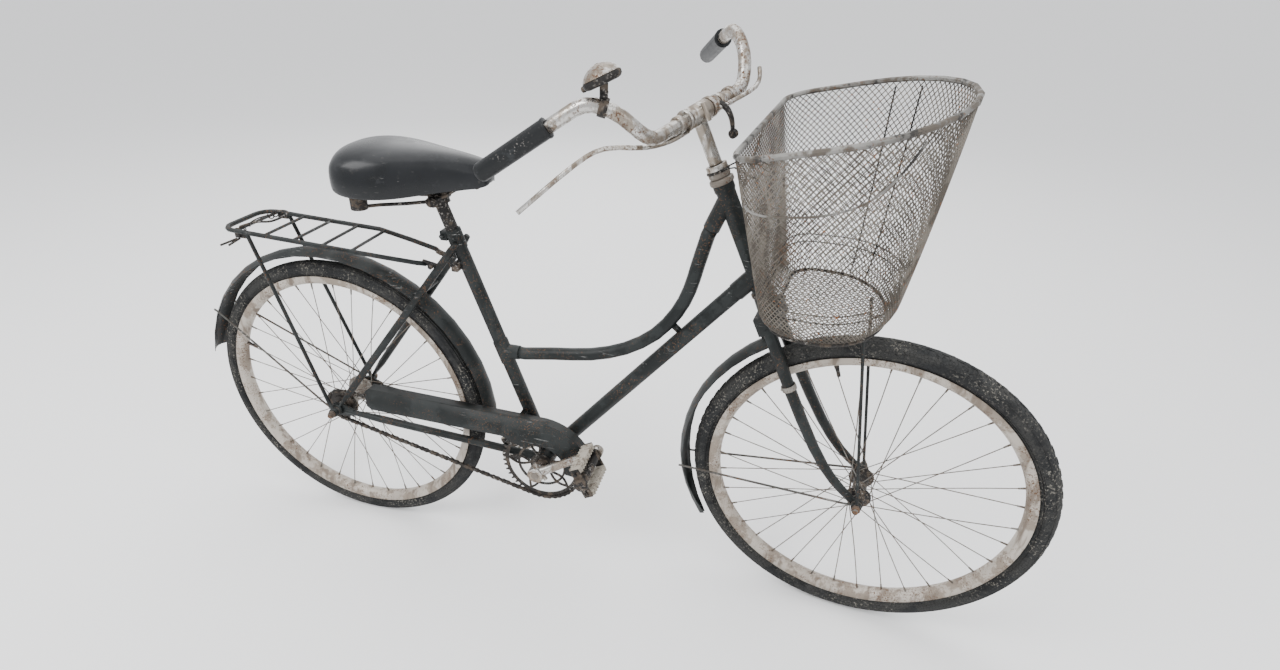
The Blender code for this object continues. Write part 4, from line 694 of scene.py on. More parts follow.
class BICYCLE_OT_wheels(bpy.types.Operator):
    """Make both wheels: rims with rolled edges, crossed spokes with nipples, turned hubs and valves"""

    bl_idname = "bicycle.wheels"
    bl_label = "Wheels"

    def execute(self, context):
        sizes = context.scene.bicycle_sizes
        for name, axle, turn in WHEELS:
            place = turn @ Matrix.Translation(axle) @ ACROSS
            rim = bmesh.new()
            turned(rim, rim_line(), Matrix.Identity(4), 128)
            piece(f"{name}_rim", rim, "rim_plating", f"{name}_wheel_body", [f"{name}_wheel"],
                  place)
            half, flange, flange_radius, barrel = HUBS[name]
            spokes = bmesh.new()
            wheel_spokes(spokes, flange, flange_radius - 0.005, sizes)
            piece(f"{name}_spokes", spokes, "spoke_steel", f"{name}_wheel_body", (), place)
            hub = bmesh.new()
            turned(hub, hub_line(half, flange, flange_radius, barrel), Matrix.Identity(4), 48)
            piece(f"{name}_hub", hub, HUB_FINISHES[name], f"{name}_wheel_body", (), place)
            valve = bmesh.new()
            angle = math.radians(251 if name == "front" else 200)
            out = Vector((math.cos(angle), math.sin(angle), 0))
            foot = out * (RIM_EDGE - RIM_DEPTH + 0.002)
            drum(valve, foot, -out, 0.0040, 0.018, 0.0032, 16)
            drum(valve, foot - out * 0.018, -out, 0.0036, 0.009, 0.0034, 16, 0.0006)
            piece(f"{name}_valve", valve, "dark_steel", f"{name}_wheel_body", (), place)
        return {"FINISHED"}


def tyre_line(height, half):
    """(radius, place across) of a tyre's skin, from bead over crown to bead."""
    inside = RIM_HALF_WIDTH - 0.0030
    right = [(BEAD - 0.0015, inside), (RIM_EDGE + 0.0008, inside), (RIM_EDGE + 0.0032, inside + 0.0012),
             (RIM_EDGE + height * 0.22, half * 0.93), (RIM_EDGE + height * 0.42, half * 1.0),
             (RIM_EDGE + height * 0.62, half * 0.955), (RIM_EDGE + height * 0.78, half * 0.80),
             (RIM_EDGE + height * 0.885, half * 0.58), (RIM_EDGE + height * 0.955, half * 0.30)]
    return right + [(RIM_EDGE + height * 0.975, 0.0)] + [(r, -y) for r, y in reversed(right)]


class BICYCLE_OT_tyres(bpy.types.Operator):
    """Make the tyres: a block tread in front and worn ribs behind, with moulded sidewall lines"""

    bl_idname = "bicycle.tyres"
    bl_label = "Tyres"

    def execute(self, context):
        sizes = context.scene.bicycle_sizes
        for name, axle, turn in WHEELS:
            height, half = FRONT_TYRE if name == "front" else REAR_TYRE
            place = turn @ Matrix.Translation(axle) @ ACROSS
            shape = bmesh.new()
            line = tyre_line(height, half)
            turned(shape, line + [line[0]], Matrix.Identity(4), 144)
            for side in (-1, 1):
                for share, wide in ((0.16, 0.885), (0.27, 0.965), (0.70, 0.905)):
                    r, y = RIM_EDGE + height * share, side * half * wide
                    turned(shape, [(r - 0.0007, y - side * 0.0012), (r, y + side * 0.0003),
                                   (r + 0.0007, y - side * 0.0012),
                                   (r, y - side * 0.0020), (r - 0.0007, y - side * 0.0012)],
                                   Matrix.Identity(4), 144)
            if name == "front":
                self.knobs(shape, height, half, sizes)
            else:
                self.ribs(shape, height, half)
            piece(f"{name}_tyre_tread", shape, "tyre", f"{name}_wheel_body", [f"{name}_tyre"], place)
        return {"FINISHED"}

    def knobs(self, whole, height, half, sizes):
        crown = RIM_EDGE + height
        # across, drop from the crown, tilt, length round, width, offset round
        rows = ((0.0, 0.0, 0, 0.0125, 0.0062, 0.0), (0.0074, 0.0016, 14, 0.0100, 0.0052, 0.5),
                (0.0142, 0.0062, 34, 0.0120, 0.0056, 0.0), (0.0188, 0.0125, 58, 0.0085, 0.0050, 0.5))
        for across, drop, tilt, length, width, offset in rows:
            for side in (-1, 1) if across else (1,):
                shape = bmesh.new()
                place = (Matrix.Rotation(2 * PI * offset / sizes.tread_blocks, 4, "Z")
                         @ Matrix.Translation((crown - drop - sizes.tread_depth / 2, 0, side * across))
                         @ Matrix.Rotation(math.radians(-side * tilt), 4, "Y")
                         @ Matrix.Rotation(math.radians(side * 16 if across else 0), 4, "X"))
                block(shape, place, (sizes.tread_depth, length, width), 0.0006)
                add(whole, ring_copies(shape, sizes.tread_blocks))

    def ribs(self, whole, height, half):
        crown = RIM_EDGE + height
        for across, drop in ((0.0, 0.0), (0.0042, 0.0004), (0.0082, 0.0016), (0.0118, 0.0038)):
            for side in (-1, 1) if across else (1,):
                r, y = crown - drop, side * across
                turned(whole, [(r - 0.0022, y - 0.0014), (r - 0.0003, y - 0.0011), (r, y),
                               (r - 0.0003, y + 0.0011),
                               (r - 0.0022, y + 0.0014), (r - 0.0022, y - 0.0014)], Matrix.Identity(4), 144)


# Drive


def chain_path():
    """Pin places of the chain, (x, z) from the rear axle, one pitch apart."""
    span = BRACKET - REAR_AXLE
    slope = math.atan2(span.z, span.x)
    lean = (RING_RADIUS - COG_RADIUS) / span.length
    spread = PI / 2 + math.atan2(lean, math.sqrt(1 - lean * lean))
    line = [Vector((span.x + RING_RADIUS * math.cos(a), span.z + RING_RADIUS * math.sin(a)))
            for a in (slope - spread + 2 * spread * k / 120 for k in range(121))]
    line += [Vector((COG_RADIUS * math.cos(a), COG_RADIUS * math.sin(a)))
             for a in (slope + spread + (2 * PI - 2 * spread) * k / 60 for k in range(61))]
    line.append(line[0])
    lengths = [(b - a).length for a, b in zip(line, line[1:])]
    count = 2 * round(sum(lengths) / CHAIN_PITCH / 2)
    step = sum(lengths) / count
    pins, run, target = [], 0.0, 0.0
    for a, b, length in zip(line, line[1:], lengths):
        while target <= run + length + 1e-9 and len(pins) < count:
            pins.append(a.lerp(b, (target - run) / length if length else 0))
            target += step
        run += length
    return pins


def link_plate(whole, place, pitch, height, thickness):
    """A plate with round ends and a waist."""
    shape = bmesh.new()
    half = height / 2
    outline = []
    for end, start in ((1, -PI / 2), (-1, PI / 2)):
        outline += [(end * pitch / 2 + half * math.cos(start + PI * k / 6),
                     half * math.sin(start + PI * k / 6))
                    for k in range(7)]
        outline.append((0, -end * -half * 0.70))
    face = shape.faces.new([shape.verts.new((x, y, 0)) for x, y in outline])
    grown = bmesh.ops.extrude_face_region(shape, geom=[face])["geom"]
    bmesh.ops.translate(shape, vec=(0, 0, thickness),
                        verts=[v for v in grown if isinstance(v, bmesh.types.BMVert)])
    bmesh.ops.recalc_face_normals(shape, faces=shape.faces)
    add(whole, shape, place)


def toothed_line(radius, teeth, tip, root):
    """Points of a toothed rim."""
    line = []
    for k in range(teeth):
        for share, level in ((0.0, root), (0.24, root), (0.42, tip), (0.58, tip), (0.76, root)):
            a = 2 * PI * (k + share) / teeth
            line.append((math.cos(a) * (radius + level), math.sin(a) * (radius + level)))
    return line


def toothed_ring(whole, line, inner, thickness):
    """A flat toothed ring, centred on its plane."""
    shape = bmesh.new()
    outer = [shape.verts.new((x, y, 0)) for x, y in line]
    hole = [shape.verts.new((x * inner / math.hypot(x, y), y * inner / math.hypot(x, y), 0)) for x, y in line]
    edges = [shape.edges.new(pair) for loop in (outer, hole) for pair in zip(loop, loop[1:] + loop[:1])]
    bmesh.ops.bridge_loops(shape, edges=edges)
    grown = bmesh.ops.extrude_face_region(shape, geom=list(shape.faces))["geom"]
    bmesh.ops.translate(shape, vec=(0, 0, thickness),
                        verts=[v for v in grown if isinstance(v, bmesh.types.BMVert)])
    bmesh.ops.recalc_face_normals(shape, faces=shape.faces)
    add(whole, shape, Matrix.Translation((0, 0, -thickness / 2)))


class BICYCLE_OT_drive(bpy.types.Operator):
    """Make the roller chain, the toothed chainwheel with its curved arms, and the rear cog"""

    bl_idname = "bicycle.drive"
    bl_label = "Drive"

    def execute(self, context):
        plate = context.scene.bicycle_sizes.chain_plate
        pins = chain_path()
        base = LEVEL @ Matrix.Translation(REAR_AXLE - Y * CHAIN_LINE)
        chain = bmesh.new()
        for k, a in enumerate(pins):
            b = pins[(k + 1) % len(pins)]
            along = (b - a)
            middle = (a + b) / 2
            turn = Matrix.Rotation(math.atan2(along.y, along.x), 4, "Z")
            at = base @ Matrix.Rotation(PI / 2, 4, "X") @ Matrix.Translation((middle.x, middle.y, 0)) @ turn
            outside = k % 2 == 0
            for side in (-1, 1):
                low = (0.0029 if outside else 0.0019) * side - 0.00045
                link_plate(chain, at @ Matrix.Translation((0, 0, low)), along.length,
                           plate if outside else plate * 0.94,
                           0.0009)
            pin = base @ Vector((a.x, 0, a.y))
            drum(chain, pin - Y * 0.0024, Y, 0.0037, 0.0048, None, 10)
            drum(chain, pin - Y * 0.0039, Y, 0.0017, 0.0078, None, 8)
        piece("roller_chain", chain, "dark_grease", "frame", ["chain"], sharp=35)

        ring = bmesh.new()
        place = LEVEL @ Matrix.Translation(BRACKET - Y * CHAIN_LINE) @ Matrix.Rotation(PI / 2, 4, "X")
        toothed_ring(ring, toothed_line(RING_RADIUS, RING_TEETH, 0.0022, -0.0048), RING_RADIUS - 0.0125,
                     0.0024)
        for radius, wide in ((0.0525, 0.0050), (0.0170, 0.0180)):
            turned(ring, [(radius - wide / 2, -0.0014), (radius + wide / 2, -0.0014),
                          (radius + wide / 2, 0.0014),
                          (radius - wide / 2, 0.0014), (radius - wide / 2, -0.0014)], Matrix.Identity(4), 64)
        arms = []
        for k in range(5):
            a = CRANK_ANGLE + 2 * PI * k / 5
            for bend in (-1, 1):
                line = []
                for share in (0.0, 0.25, 0.5, 0.75, 1.0):
                    r = 0.024 + (RING_RADIUS - 0.014 - 0.024) * share
                    swing = a + bend * 0.28 * math.sin(share * PI) * (1 - 0.35 * share)
                    line.append((math.cos(swing) * r, math.sin(swing) * r, 0.0))
                arms.append(line)
        wires(ring, arms, 0.0027, 8, smooth=True)
        piece("toothed_chainwheel", ring, "dark_grease", "crank", ["chainwheel"], place=place, sharp=35)

        cog = bmesh.new()
        toothed_ring(cog, toothed_line(COG_RADIUS, COG_TEETH, 0.0018, -0.0048), 0.0124, 0.0024)
        turned(cog, [(0.0124, -0.0018), (0.024, -0.0018), (0.024, 0.0030), (0.0124, 0.0030),
                     (0.0124, -0.0018)],
               Matrix.Identity(4), 40)
        place = LEVEL @ Matrix.Translation(REAR_AXLE - Y * CHAIN_LINE) @ Matrix.Rotation(PI / 2, 4, "X")
        piece("toothed_cog", cog, "dark_grease", "rear_wheel_body", ["rear_cog"], place=place, sharp=35)
        return {"FINISHED"}


class BICYCLE_OT_pedals(bpy.types.Operator):
    """Make the block pedals: two ribbed treads between end plates, a barrel and its cap"""

    bl_idname = "bicycle.pedals"
    bl_label = "Pedals"

    def execute(self, context):
        for side, name in ((-1, "right"), (1, "left")):
            eye = BRACKET + CRANK_AXIS * (-side * CRANK_LENGTH)
            out = Y * side
            start = eye + out * PEDAL_INNER
            lean = Vector((math.cos(PEDAL_LEAN), 0, math.sin(PEDAL_LEAN)))
            normal = Y.cross(lean)
            square = Matrix((lean, normal, lean.cross(normal))).transposed().to_4x4()
            treads, metal = bmesh.new(), bmesh.new()
            for edge in (-1, 1):
                middle = start + out * PEDAL_LENGTH / 2 + lean * edge * 0.0275
                block(treads, Matrix.Translation(middle) @ square, (0.0110, 0.0235, PEDAL_LENGTH - 0.008),
                      0.0020)
                for k in range(9):
                    at = start + out * (0.010 + (PEDAL_LENGTH - 0.020) * k / 8) + lean * edge * 0.0275
                    block(treads, Matrix.Translation(at) @ square, (0.0125, 0.0262, 0.0042), 0.0010)
            for place, thick in ((0.0022, 0.003), (PEDAL_LENGTH - 0.0022, 0.003)):
                block(metal, Matrix.Translation(start + out * place) @ square, (0.066, 0.0190, thick), 0.0009)
            drum(metal, start, out, 0.0098, PEDAL_LENGTH - 0.001, None, 28)
            drum(metal, eye + out * 0.0692, out, 0.0061, 0.022, None, 20)
            end = start + out * (PEDAL_LENGTH - 0.0006)
            place = aim(end, out)
            turned(metal, [(0.0, 0.0), (0.0132, 0.0), (0.0134, 0.0050), (0.0118, 0.0076), (0.0060, 0.0088),
                           (0.0, 0.0089)], place, 32)
            for edge in (-1, 1):
                at = start + out * (PEDAL_LENGTH + 0.0006) + lean * edge * 0.024
                drum(metal, at, out, 0.0042, 0.0040, None, 6, 0.0004)
            piece(f"pedal_treads_{name}", treads, "pedal_block", f"pedal_{name}_body", [f"pedal_{name}"],
                  LEVEL)
            piece(f"pedal_cage_{name}", metal, "dark_steel", f"pedal_{name}_body", (), LEVEL)
        return {"FINISHED"}


# Saddle


class BICYCLE_OT_saddle(bpy.types.Operator):
    """Make the saddle's padded cover, its rolled hem and the coil springs"""

    bl_idname = "bicycle.saddle"
    bl_label = "Saddle"

    def execute(self, context):
        floor_z = SADDLE_TOP - SADDLE_SKIRT
        # station: place along, half width, top drop, skirt below the floor
        stations = ((0.004, 0.30, 0.036, 0.000), (0.018, 0.58, 0.022, 0.007), (0.050, 0.80, 0.011, 0.015),
                    (0.110, 0.945, 0.004, 0.021), (0.240, 0.990, 0.000, 0.0255),
                    (0.400, 0.890, 0.0015, 0.0255),
                    (0.540, 0.680, 0.004, 0.0215), (0.680, 0.485, 0.008, 0.0155),
                    (0.820, 0.365, 0.013, 0.0095),
                    (0.930, 0.300, 0.019, 0.0055), (0.975, 0.225, 0.025, 0.0025), (0.996, 0.10, 0.034, 0.000))
        shape = bmesh.new()
        loops = []
        for place, wide, drop, skirt in stations:
            x, half = SADDLE_REAR + SADDLE_LENGTH * place, 0.108 * wide
            top, low = SADDLE_TOP - drop, floor_z - skirt
            side = [(0.0, top), (0.26, top - 0.0004), (0.50, top - 0.003), (0.72, top - 0.009),
                    (0.88, top - 0.019),
                    (0.965, top * 0.6 + low * 0.4), (1.0, top * 0.3 + low * 0.7), (0.985, low + 0.004),
                    (0.95, low),
                    (0.86, low + 0.002), (0.80, max(low + 0.006, floor_z)), (0.4, floor_z + 0.001)]
            ring = [(y * half, z) for y, z in side] + [(0.0, floor_z + 0.001)]
            ring += [(-y * half, z) for y, z in reversed(side[1:])]
            verts = [shape.verts.new((x, y, z)) for y, z in ring]
            loops.append([shape.edges.new(pair) for pair in zip(verts, verts[1:] + verts[:1])])
        for a, b in zip(loops, loops[1:]):
            bmesh.ops.bridge_loops(shape, edges=a + b)
        bmesh.ops.holes_fill(shape, edges=loops[0] + loops[-1], sides=0)
        bmesh.ops.recalc_face_normals(shape, faces=shape.faces)
        cover = piece("saddle_cover_pad", shape, "saddle_cover", "frame", ["saddle_cushion"],
                      LEVEL,
                      180)
        smooth = cover.modifiers.new("Smooth", "SUBSURF")
        smooth.levels = smooth.render_levels = 2

        coils = bmesh.new()
        clip_z = (SEAT_TOP + SEAT_AXIS * 0.062).z
        for side in (-1, 1):
            foot = Vector((SADDLE_REAR + 0.052, side * 0.060, clip_z - 0.015))
            top = floor_z - 0.002
            turns = 4.5
            count = 90
            path = [foot + Vector((0.0138 * math.cos(2 * PI * turns * k / count),
                                   0.0138 * math.sin(2 * PI * turns * k / count), (top - foot.z) * k / count))
                    for k in range(count + 1)]
            wires(coils, [path], 0.0021, 10)
        piece("saddle_springs", coils, "rusty_steel", "frame", (), LEVEL)
        return {"FINISHED"}


# Basket


def basket_ring(level, inset=0.0, lift=0.0, count=96):
    """Evenly spaced points of the basket's D-shaped outline at a level from 0 at the floor to 1 at the rim."""
    rear_x = 0.9165 + (0.860 - 0.9165) * level
    half = 0.150 + 0.065 * level - inset
    length = 0.200 + 0.100 * level - 2 * inset
    tilt = BASKET_TILT * level
    base_z = BASKET_FLOOR_Z + (BASKET_RIM_Z - BASKET_FLOOR_Z) * level + lift
    corner, straight = 0.045, length * 0.42
    line = [(corner + corner * math.cos(PI - PI / 2 * k / 8),
             half - corner + corner * math.sin(PI - PI / 2 * k / 8))
            for k in range(9)]
    line += [(straight + (length - straight) * math.cos(PI / 2 - PI * k / 48),
              half * math.sin(PI / 2 - PI * k / 48))
             for k in range(49)]
    line += [(corner + corner * math.cos(-PI / 2 - PI / 2 * k / 8),
              corner - half + corner * math.sin(-PI / 2 - PI / 2 * k / 8))
             for k in range(9)]
    line.append(line[0])
    points = [Vector((rear_x + inset + a * math.cos(tilt), b, base_z + a * math.sin(tilt))) for a, b in line]
    lengths = [(q - p).length for p, q in zip(points, points[1:])]
    total, even, run, index = sum(lengths), [], 0.0, 0
    for k in range(count):
        target = total * k / count
        while run + lengths[index] < target:
            run += lengths[index]
            index += 1
        even.append(points[index].lerp(points[index + 1], (target - run) / lengths[index]))
    return even


def basket_inset(level):
    """The wall bends in to the floor over its lowest tenth."""
    low = max(0.0, 1 - level / 0.12)
    return 0.0012 + 0.0140 * low**2


def around(ring, share):
    """The point at a share round a ring of evenly spaced points."""
    at = (share % 1.0) * len(ring)
    low = int(at) % len(ring)
    return ring[low].lerp(ring[(low + 1) % len(ring)], at - int(at))


class BICYCLE_OT_basket(bpy.types.Operator):
    """Weave the basket from two lays of slanting wire, with its seams, base, floor wires and bail"""

    bl_idname = "bicycle.basket"
    bl_label = "Basket"

    def execute(self, context):
        sizes = context.scene.bicycle_sizes
        count, rows = sizes.mesh_strands, sizes.mesh_rows
        levels = [k / rows for k in range(rows + 1)]
        rings = [basket_ring(level, basket_inset(level), 0.0 if level else 0.0010, 240) for level in levels]
        for number, lay in enumerate((-1, 1)):
            paths = []
            for k in range(count):
                paths.append([around(ring, (k + lay * rows * level) / count) for level,
                              ring in zip(levels, rings)])
            wall = bmesh.new()
            wires(wall, paths, sizes.mesh_radius, 4)
            piece(f"basket_mesh_{number + 1}", wall, "mesh_steel", "steering",
                  ["basket"] if not number else (),
                  TURNED, 180)
        self.floor(sizes)
        self.stiffeners()
        return {"FINISHED"}

    def floor(self, sizes):
        outline = basket_ring(0.0, basket_inset(0.0), 0.0012, 240)
        middle = sum(outline, Vector()) / len(outline)
        flat = [p - middle for p in outline]
        reach = max(p.length for p in flat)
        pitch = 0.0072
        floor = bmesh.new()
        paths = []
        for angle in (math.radians(42), math.radians(138)):
            along = Vector((math.cos(angle), math.sin(angle), 0))
            side = Vector((-along.y, along.x, 0))
            steps = int(reach / pitch)
            for k in range(-steps, steps + 1):
                ends = self.crossings(flat, along, side, k * pitch)
                if len(ends) == 2:
                    paths.append([middle + ends[0], middle + ends[1]])
        wires(floor, paths, sizes.mesh_radius, 4)
        piece("basket_floor_mesh", floor, "mesh_steel", "steering", (), TURNED, 180)

    def crossings(self, outline, along, side, offset):
        """Where the line at an offset crosses a convex outline."""
        found = []
        for p, q in zip(outline, outline[1:] + outline[:1]):
            a, b = p.dot(side) - offset, q.dot(side) - offset
            if (a < 0) != (b < 0):
                found.append(p.lerp(q, a / (a - b)))
        return found

    def stiffeners(self):
        """Base wire, upright seams, two rings of wire low round the wall and the bail."""
        dark = bmesh.new()
        base = basket_ring(0.0, 0.0125, 0.0016, 96)
        wires(dark, [base], 0.0030, 10, closed=True)
        for share in (0.165, 0.205):
            path = [around(basket_ring(level, basket_inset(level) + 0.0022, 0, 240), share)
                    for level in (0.02, 0.06, 0.12, 0.3, 0.5, 0.75, 0.985)]
            wires(dark, [path], 0.0013, 8)
        for level in (0.16, 0.205):
            wires(dark, [basket_ring(level, 0.0030, 0, 96)], 0.0011, 8, closed=True)
        piece("basket_frame_wires", dark, "dark_steel", "steering", (), TURNED, 60)
        bail = bmesh.new()
        path = []
        for share, level in ((0.870, 0.975), (0.835, 0.93), (0.790, 0.865), (0.740, 0.800), (0.690, 0.755),
                             (0.640, 0.735), (0.600, 0.745), (0.565, 0.775), (0.540, 0.83), (0.520, 0.90),
                             (0.505, 0.970)):
            ring = basket_ring(level, -0.0012, 0, 240)
            path.append(around(ring, share))
        wires(bail, [smooth_line(path, 4)], 0.0017, 8)
        piece("basket_bail", bail, "rim_wire", "steering", (), TURNED, 60)


# Handlebar fittings

BAR_BENDS = [(0.0, 0.050, 0.0), (0.002, 0.085, 0.000), (0.005, 0.118, 0.003), (0.006, 0.140, 0.022),
             (0.004, 0.158, 0.050), (-0.008, 0.174, 0.074), (-0.028, 0.190, 0.088)]


class BICYCLE_OT_bell(bpy.types.Operator):
    """Make the bell: a bare dome over a dark cup, its post, clamp, screw and thumb lever"""

    bl_idname = "bicycle.bell"
    bl_label = "Bell"

    def execute(self, context):
        foot = bar_place(0.006, -0.168, 0.074)
        base = foot + HEAD_AXIS * (BAR_RADIUS + 0.016)
        place = aim(base, HEAD_AXIS)
        dome = bmesh.new()
        turned(dome, [(0.0, 0.0288), (0.0045, 0.0286), (0.0090, 0.0278), (0.0150, 0.0256), (0.0208, 0.0220),
                      (0.0252, 0.0178), (0.0278, 0.0140), (0.0288, 0.0122), (0.0281, 0.0116),
                      (0.0270, 0.0124),
                      (0.0, 0.0150)], place, 64)
        turned(dome, [(0.0, 0.0296), (0.0028, 0.0294), (0.0036, 0.0284), (0.0, 0.0280)], place, 24)
        piece("bell_dome", dome, "worn_chrome", "steering", ["bell"], TURNED)
        dark = bmesh.new()
        turned(dark, [(0.0, 0.0002), (0.0220, 0.0006), (0.0262, 0.0018), (0.0292, 0.0050), (0.0298, 0.0090),
                      (0.0292, 0.0112), (0.0270, 0.0118), (0.0, 0.0118)], place, 64)
        below, seat, above = (bar_place(f, -y, t) for f, y, t in BAR_BENDS[-3:])
        along = (above - below).normalized()
        up = (base - seat).normalized()
        bar(dark, seat + up * (BAR_RADIUS + 0.002), base + HEAD_AXIS * 0.002, 0.0062, 20)
        turned(dark, [(BAR_RADIUS + 0.0006, -0.0065), (BAR_RADIUS + 0.0032, -0.0065),
                      (BAR_RADIUS + 0.0036, 0.0),
                      (BAR_RADIUS + 0.0032, 0.0065), (BAR_RADIUS + 0.0006, 0.0065),
                      (BAR_RADIUS + 0.0006, -0.0065)],
               aim(seat, along), 32)
        out = along.cross(up).normalized()
        block(dark, Matrix.Translation(seat + up * (BAR_RADIUS + 0.006)) @ aim(Vector(),
                                                                               along).to_3x3().to_4x4(),
              (0.0120, 0.0120, 0.0110), 0.0015)
        drum(dark, seat + up * (BAR_RADIUS + 0.007) - out * 0.0085, out, 0.0030, 0.0170, None, 12, 0.0005)
        lever = bar_place(-0.030, -0.178, 0.074) + HEAD_AXIS * (BAR_RADIUS + 0.022)
        arm = base + HEAD_AXIS * 0.0090
        reach = (lever - arm).normalized()
        bar(dark, arm + reach * 0.020, lever - reach * 0.001, 0.0022, 10)
        turned(dark, [(0.0, -0.0050), (0.0032, -0.0044), (0.0046, -0.0020), (0.0046, 0.0016),
                      (0.0030, 0.0040),
                      (0.0, 0.0044)], aim(lever - reach * 0.0030, HEAD_AXIS), 20)
        piece("bell_base", dark, "dark_steel", "steering", (), TURNED)
        return {"FINISHED"}


class BICYCLE_OT_brakes(bpy.types.Operator):
    """Make the rod brake's remains: the shaft's collars, the hanging arm and the blade clamps"""

    bl_idname = "bicycle.brakes"
    bl_label = "Brake Remains"

    def execute(self, context):
        middle = bar_place(0, 0, 0)
        across = (bar_place(0, 1, 0) - middle).normalized()
        ahead = (bar_place(1, 0, 0) - middle).normalized()
        rusty = bmesh.new()
        for y, wide, radius in ((-0.050, 0.010, 0.0142), (-0.032, 0.006, 0.0172), (0.031, 0.008, 0.0176),
                                (0.043, 0.010, 0.0150), (0.060, 0.014, 0.0140), (0.088, 0.010, 0.0150)):
            turned(rusty, [(BAR_RADIUS - 0.0006, -wide / 2), (radius - 0.0012, -wide / 2),
                           (radius, 0.0012 - wide / 2),
                           (radius, wide / 2 - 0.0012), (radius - 0.0012, wide / 2),
                           (BAR_RADIUS - 0.0006, wide / 2),
                           (BAR_RADIUS - 0.0006, -wide / 2)], aim(middle + across * y, across), 32)
        piece("brake_shaft_collars", rusty, "worn_chrome", "steering", (), TURNED)
        arm = bmesh.new()
        root = middle + across * 0.046 + ahead * 0.008
        line = [root, root + ahead * 0.012 - HEAD_AXIS * 0.006, root + ahead * 0.018 - HEAD_AXIS * 0.022,
                root + ahead * 0.015 - HEAD_AXIS * 0.038, root + ahead * 0.009 - HEAD_AXIS * 0.050]
        wires(arm, [[(*p, 1.0 - 0.10 * k) for k, p in enumerate(line)]], 0.0058, 12, smooth=True)
        turned(arm, [(0.0022, -0.0040), (0.0074, -0.0040), (0.0078, 0.0), (0.0074, 0.0040), (0.0022, 0.0040),
                     (0.0022, -0.0040)], aim(line[-1] - HEAD_AXIS * 0.004, across), 24)
        drum(arm, line[-1] - HEAD_AXIS * 0.004 - across * 0.007, across, 0.0022, 0.014, None, 10)
        piece("front_brake_arm", arm, "dark_steel", "steering", (), TURNED)

        clamps = bmesh.new()
        for side in (-1, 1):
            at = head(0.272, 0.0, side * 0.0425)
            down = (head(0.140, 0.006, side * 0.048) - head(0.340, 0, side * 0.038)).normalized()
            turned(clamps, [(0.0118, -0.0050), (0.0136, -0.0050), (0.0140, 0.0), (0.0136, 0.0050),
                            (0.0118, 0.0050),
                            (0.0118, -0.0050)], aim(at, down), 32)
            drum(clamps, at - RAKE_AXIS * 0.0120 - Y * 0.006, Y, 0.0030, 0.012, None, 6, 0.0004)
        link = [head(0.276, -0.013, -0.036), head(0.286, -0.019, -0.026), head(0.286, -0.020, 0.026),
                head(0.276, -0.013, 0.036)]
        piece("blade_clamps", clamps, "dull_steel", "steering", (), TURNED)
        return {"FINISHED"}


class BICYCLE_OT_fittings(bpy.types.Operator):
    """Make the rack's spring clip, the seat cluster's clamp and rods, bolts, cap nuts and the torn brackets"""

    bl_idname = "bicycle.fittings"
    bl_label = "Fittings"

    def execute(self, context):
        dark = bmesh.new()
        z = RACK_Z
        clip = [(-0.150, 0.052, z + 0.004), (-0.128, 0.040, z + 0.012), (-0.105, 0.038, z + 0.016),
                (-0.092, 0.030, z + 0.012), (-0.092, -0.030, z + 0.012), (-0.105, -0.038, z + 0.016),
                (-0.128, -0.040, z + 0.012), (-0.150, -0.052, z + 0.004)]
        wires(dark, [clip], 0.0024, 8, smooth=True)
        for side in (-1, 1):
            coil = [(-0.150 + 0.0055 * math.cos(PI * k / 6), side * (0.030 + 0.0011 * k),
                     z - 0.002 + 0.0055 * math.sin(PI * k / 6))
                    for k in range(30)]
            wires(dark, [coil], 0.0013, 6)
            block(dark, Matrix.Translation((-0.138, side * 0.065, z - 0.008)), (0.026, 0.008, 0.010), 0.0012)
            drum(dark, Vector((-0.138, side * 0.060, z - 0.008)), Y * side, 0.0034, 0.014, None, 6, 0.0004)
        wires(dark, [[(-0.150, -0.030, z - 0.002), (-0.162, -0.008, z + 0.003), (-0.150, 0.020, z + 0.006),
                      (-0.128, 0.026, z + 0.008)]], 0.0013, 6, smooth=True)
        for x, y, reach in ((-0.150, -0.078, 0.030), (-0.146, -0.074, 0.018)):
            bar(dark, Vector((x, y + 0.012, z - 0.016)), Vector((x - reach, y - 0.004, z - 0.028)), 0.0022,
                10)
        piece("rack_spring_clip", dark, "dark_steel", "frame", (), LEVEL)

        clamp = bmesh.new()
        seat = SEAT_TOP - SEAT_AXIS * 0.075
        front = Vector((0.244, 0, RACK_Z - 0.034))
        for side in (-1, 1):
            bar(clamp, front + Y * side * 0.030 + Z * 0.004, front + Vector((0.030, side * 0.026, -0.004)),
                0.0052, 14,
                0.001)
            drum(clamp, front + Vector((0.020, side * 0.024, -0.002)), Y * side, 0.0055, 0.016, None, 6,
                 0.0006)
        block(clamp, Matrix.Translation(seat - X * 0.016), (0.014, 0.052, 0.016), 0.002)
        piece("rack_clamp", clamp, "dark_steel", "frame", (), LEVEL)

        caps = bmesh.new()
        for side in (-1, 1):
            at = FRONT_AXLE + Y * side * 0.0730
            turned(caps, [(0.0, 0.0046), (0.0030, 0.0040), (0.0050, 0.0020), (0.0056, -0.0030),
                          (0.0052, -0.0052),
                          (0.0049, -0.0052)], aim(at, Y * side), 24)
        piece("front_cap_nuts", caps, "rim_wire", "steering", (), TURNED)
        return {"FINISHED"}


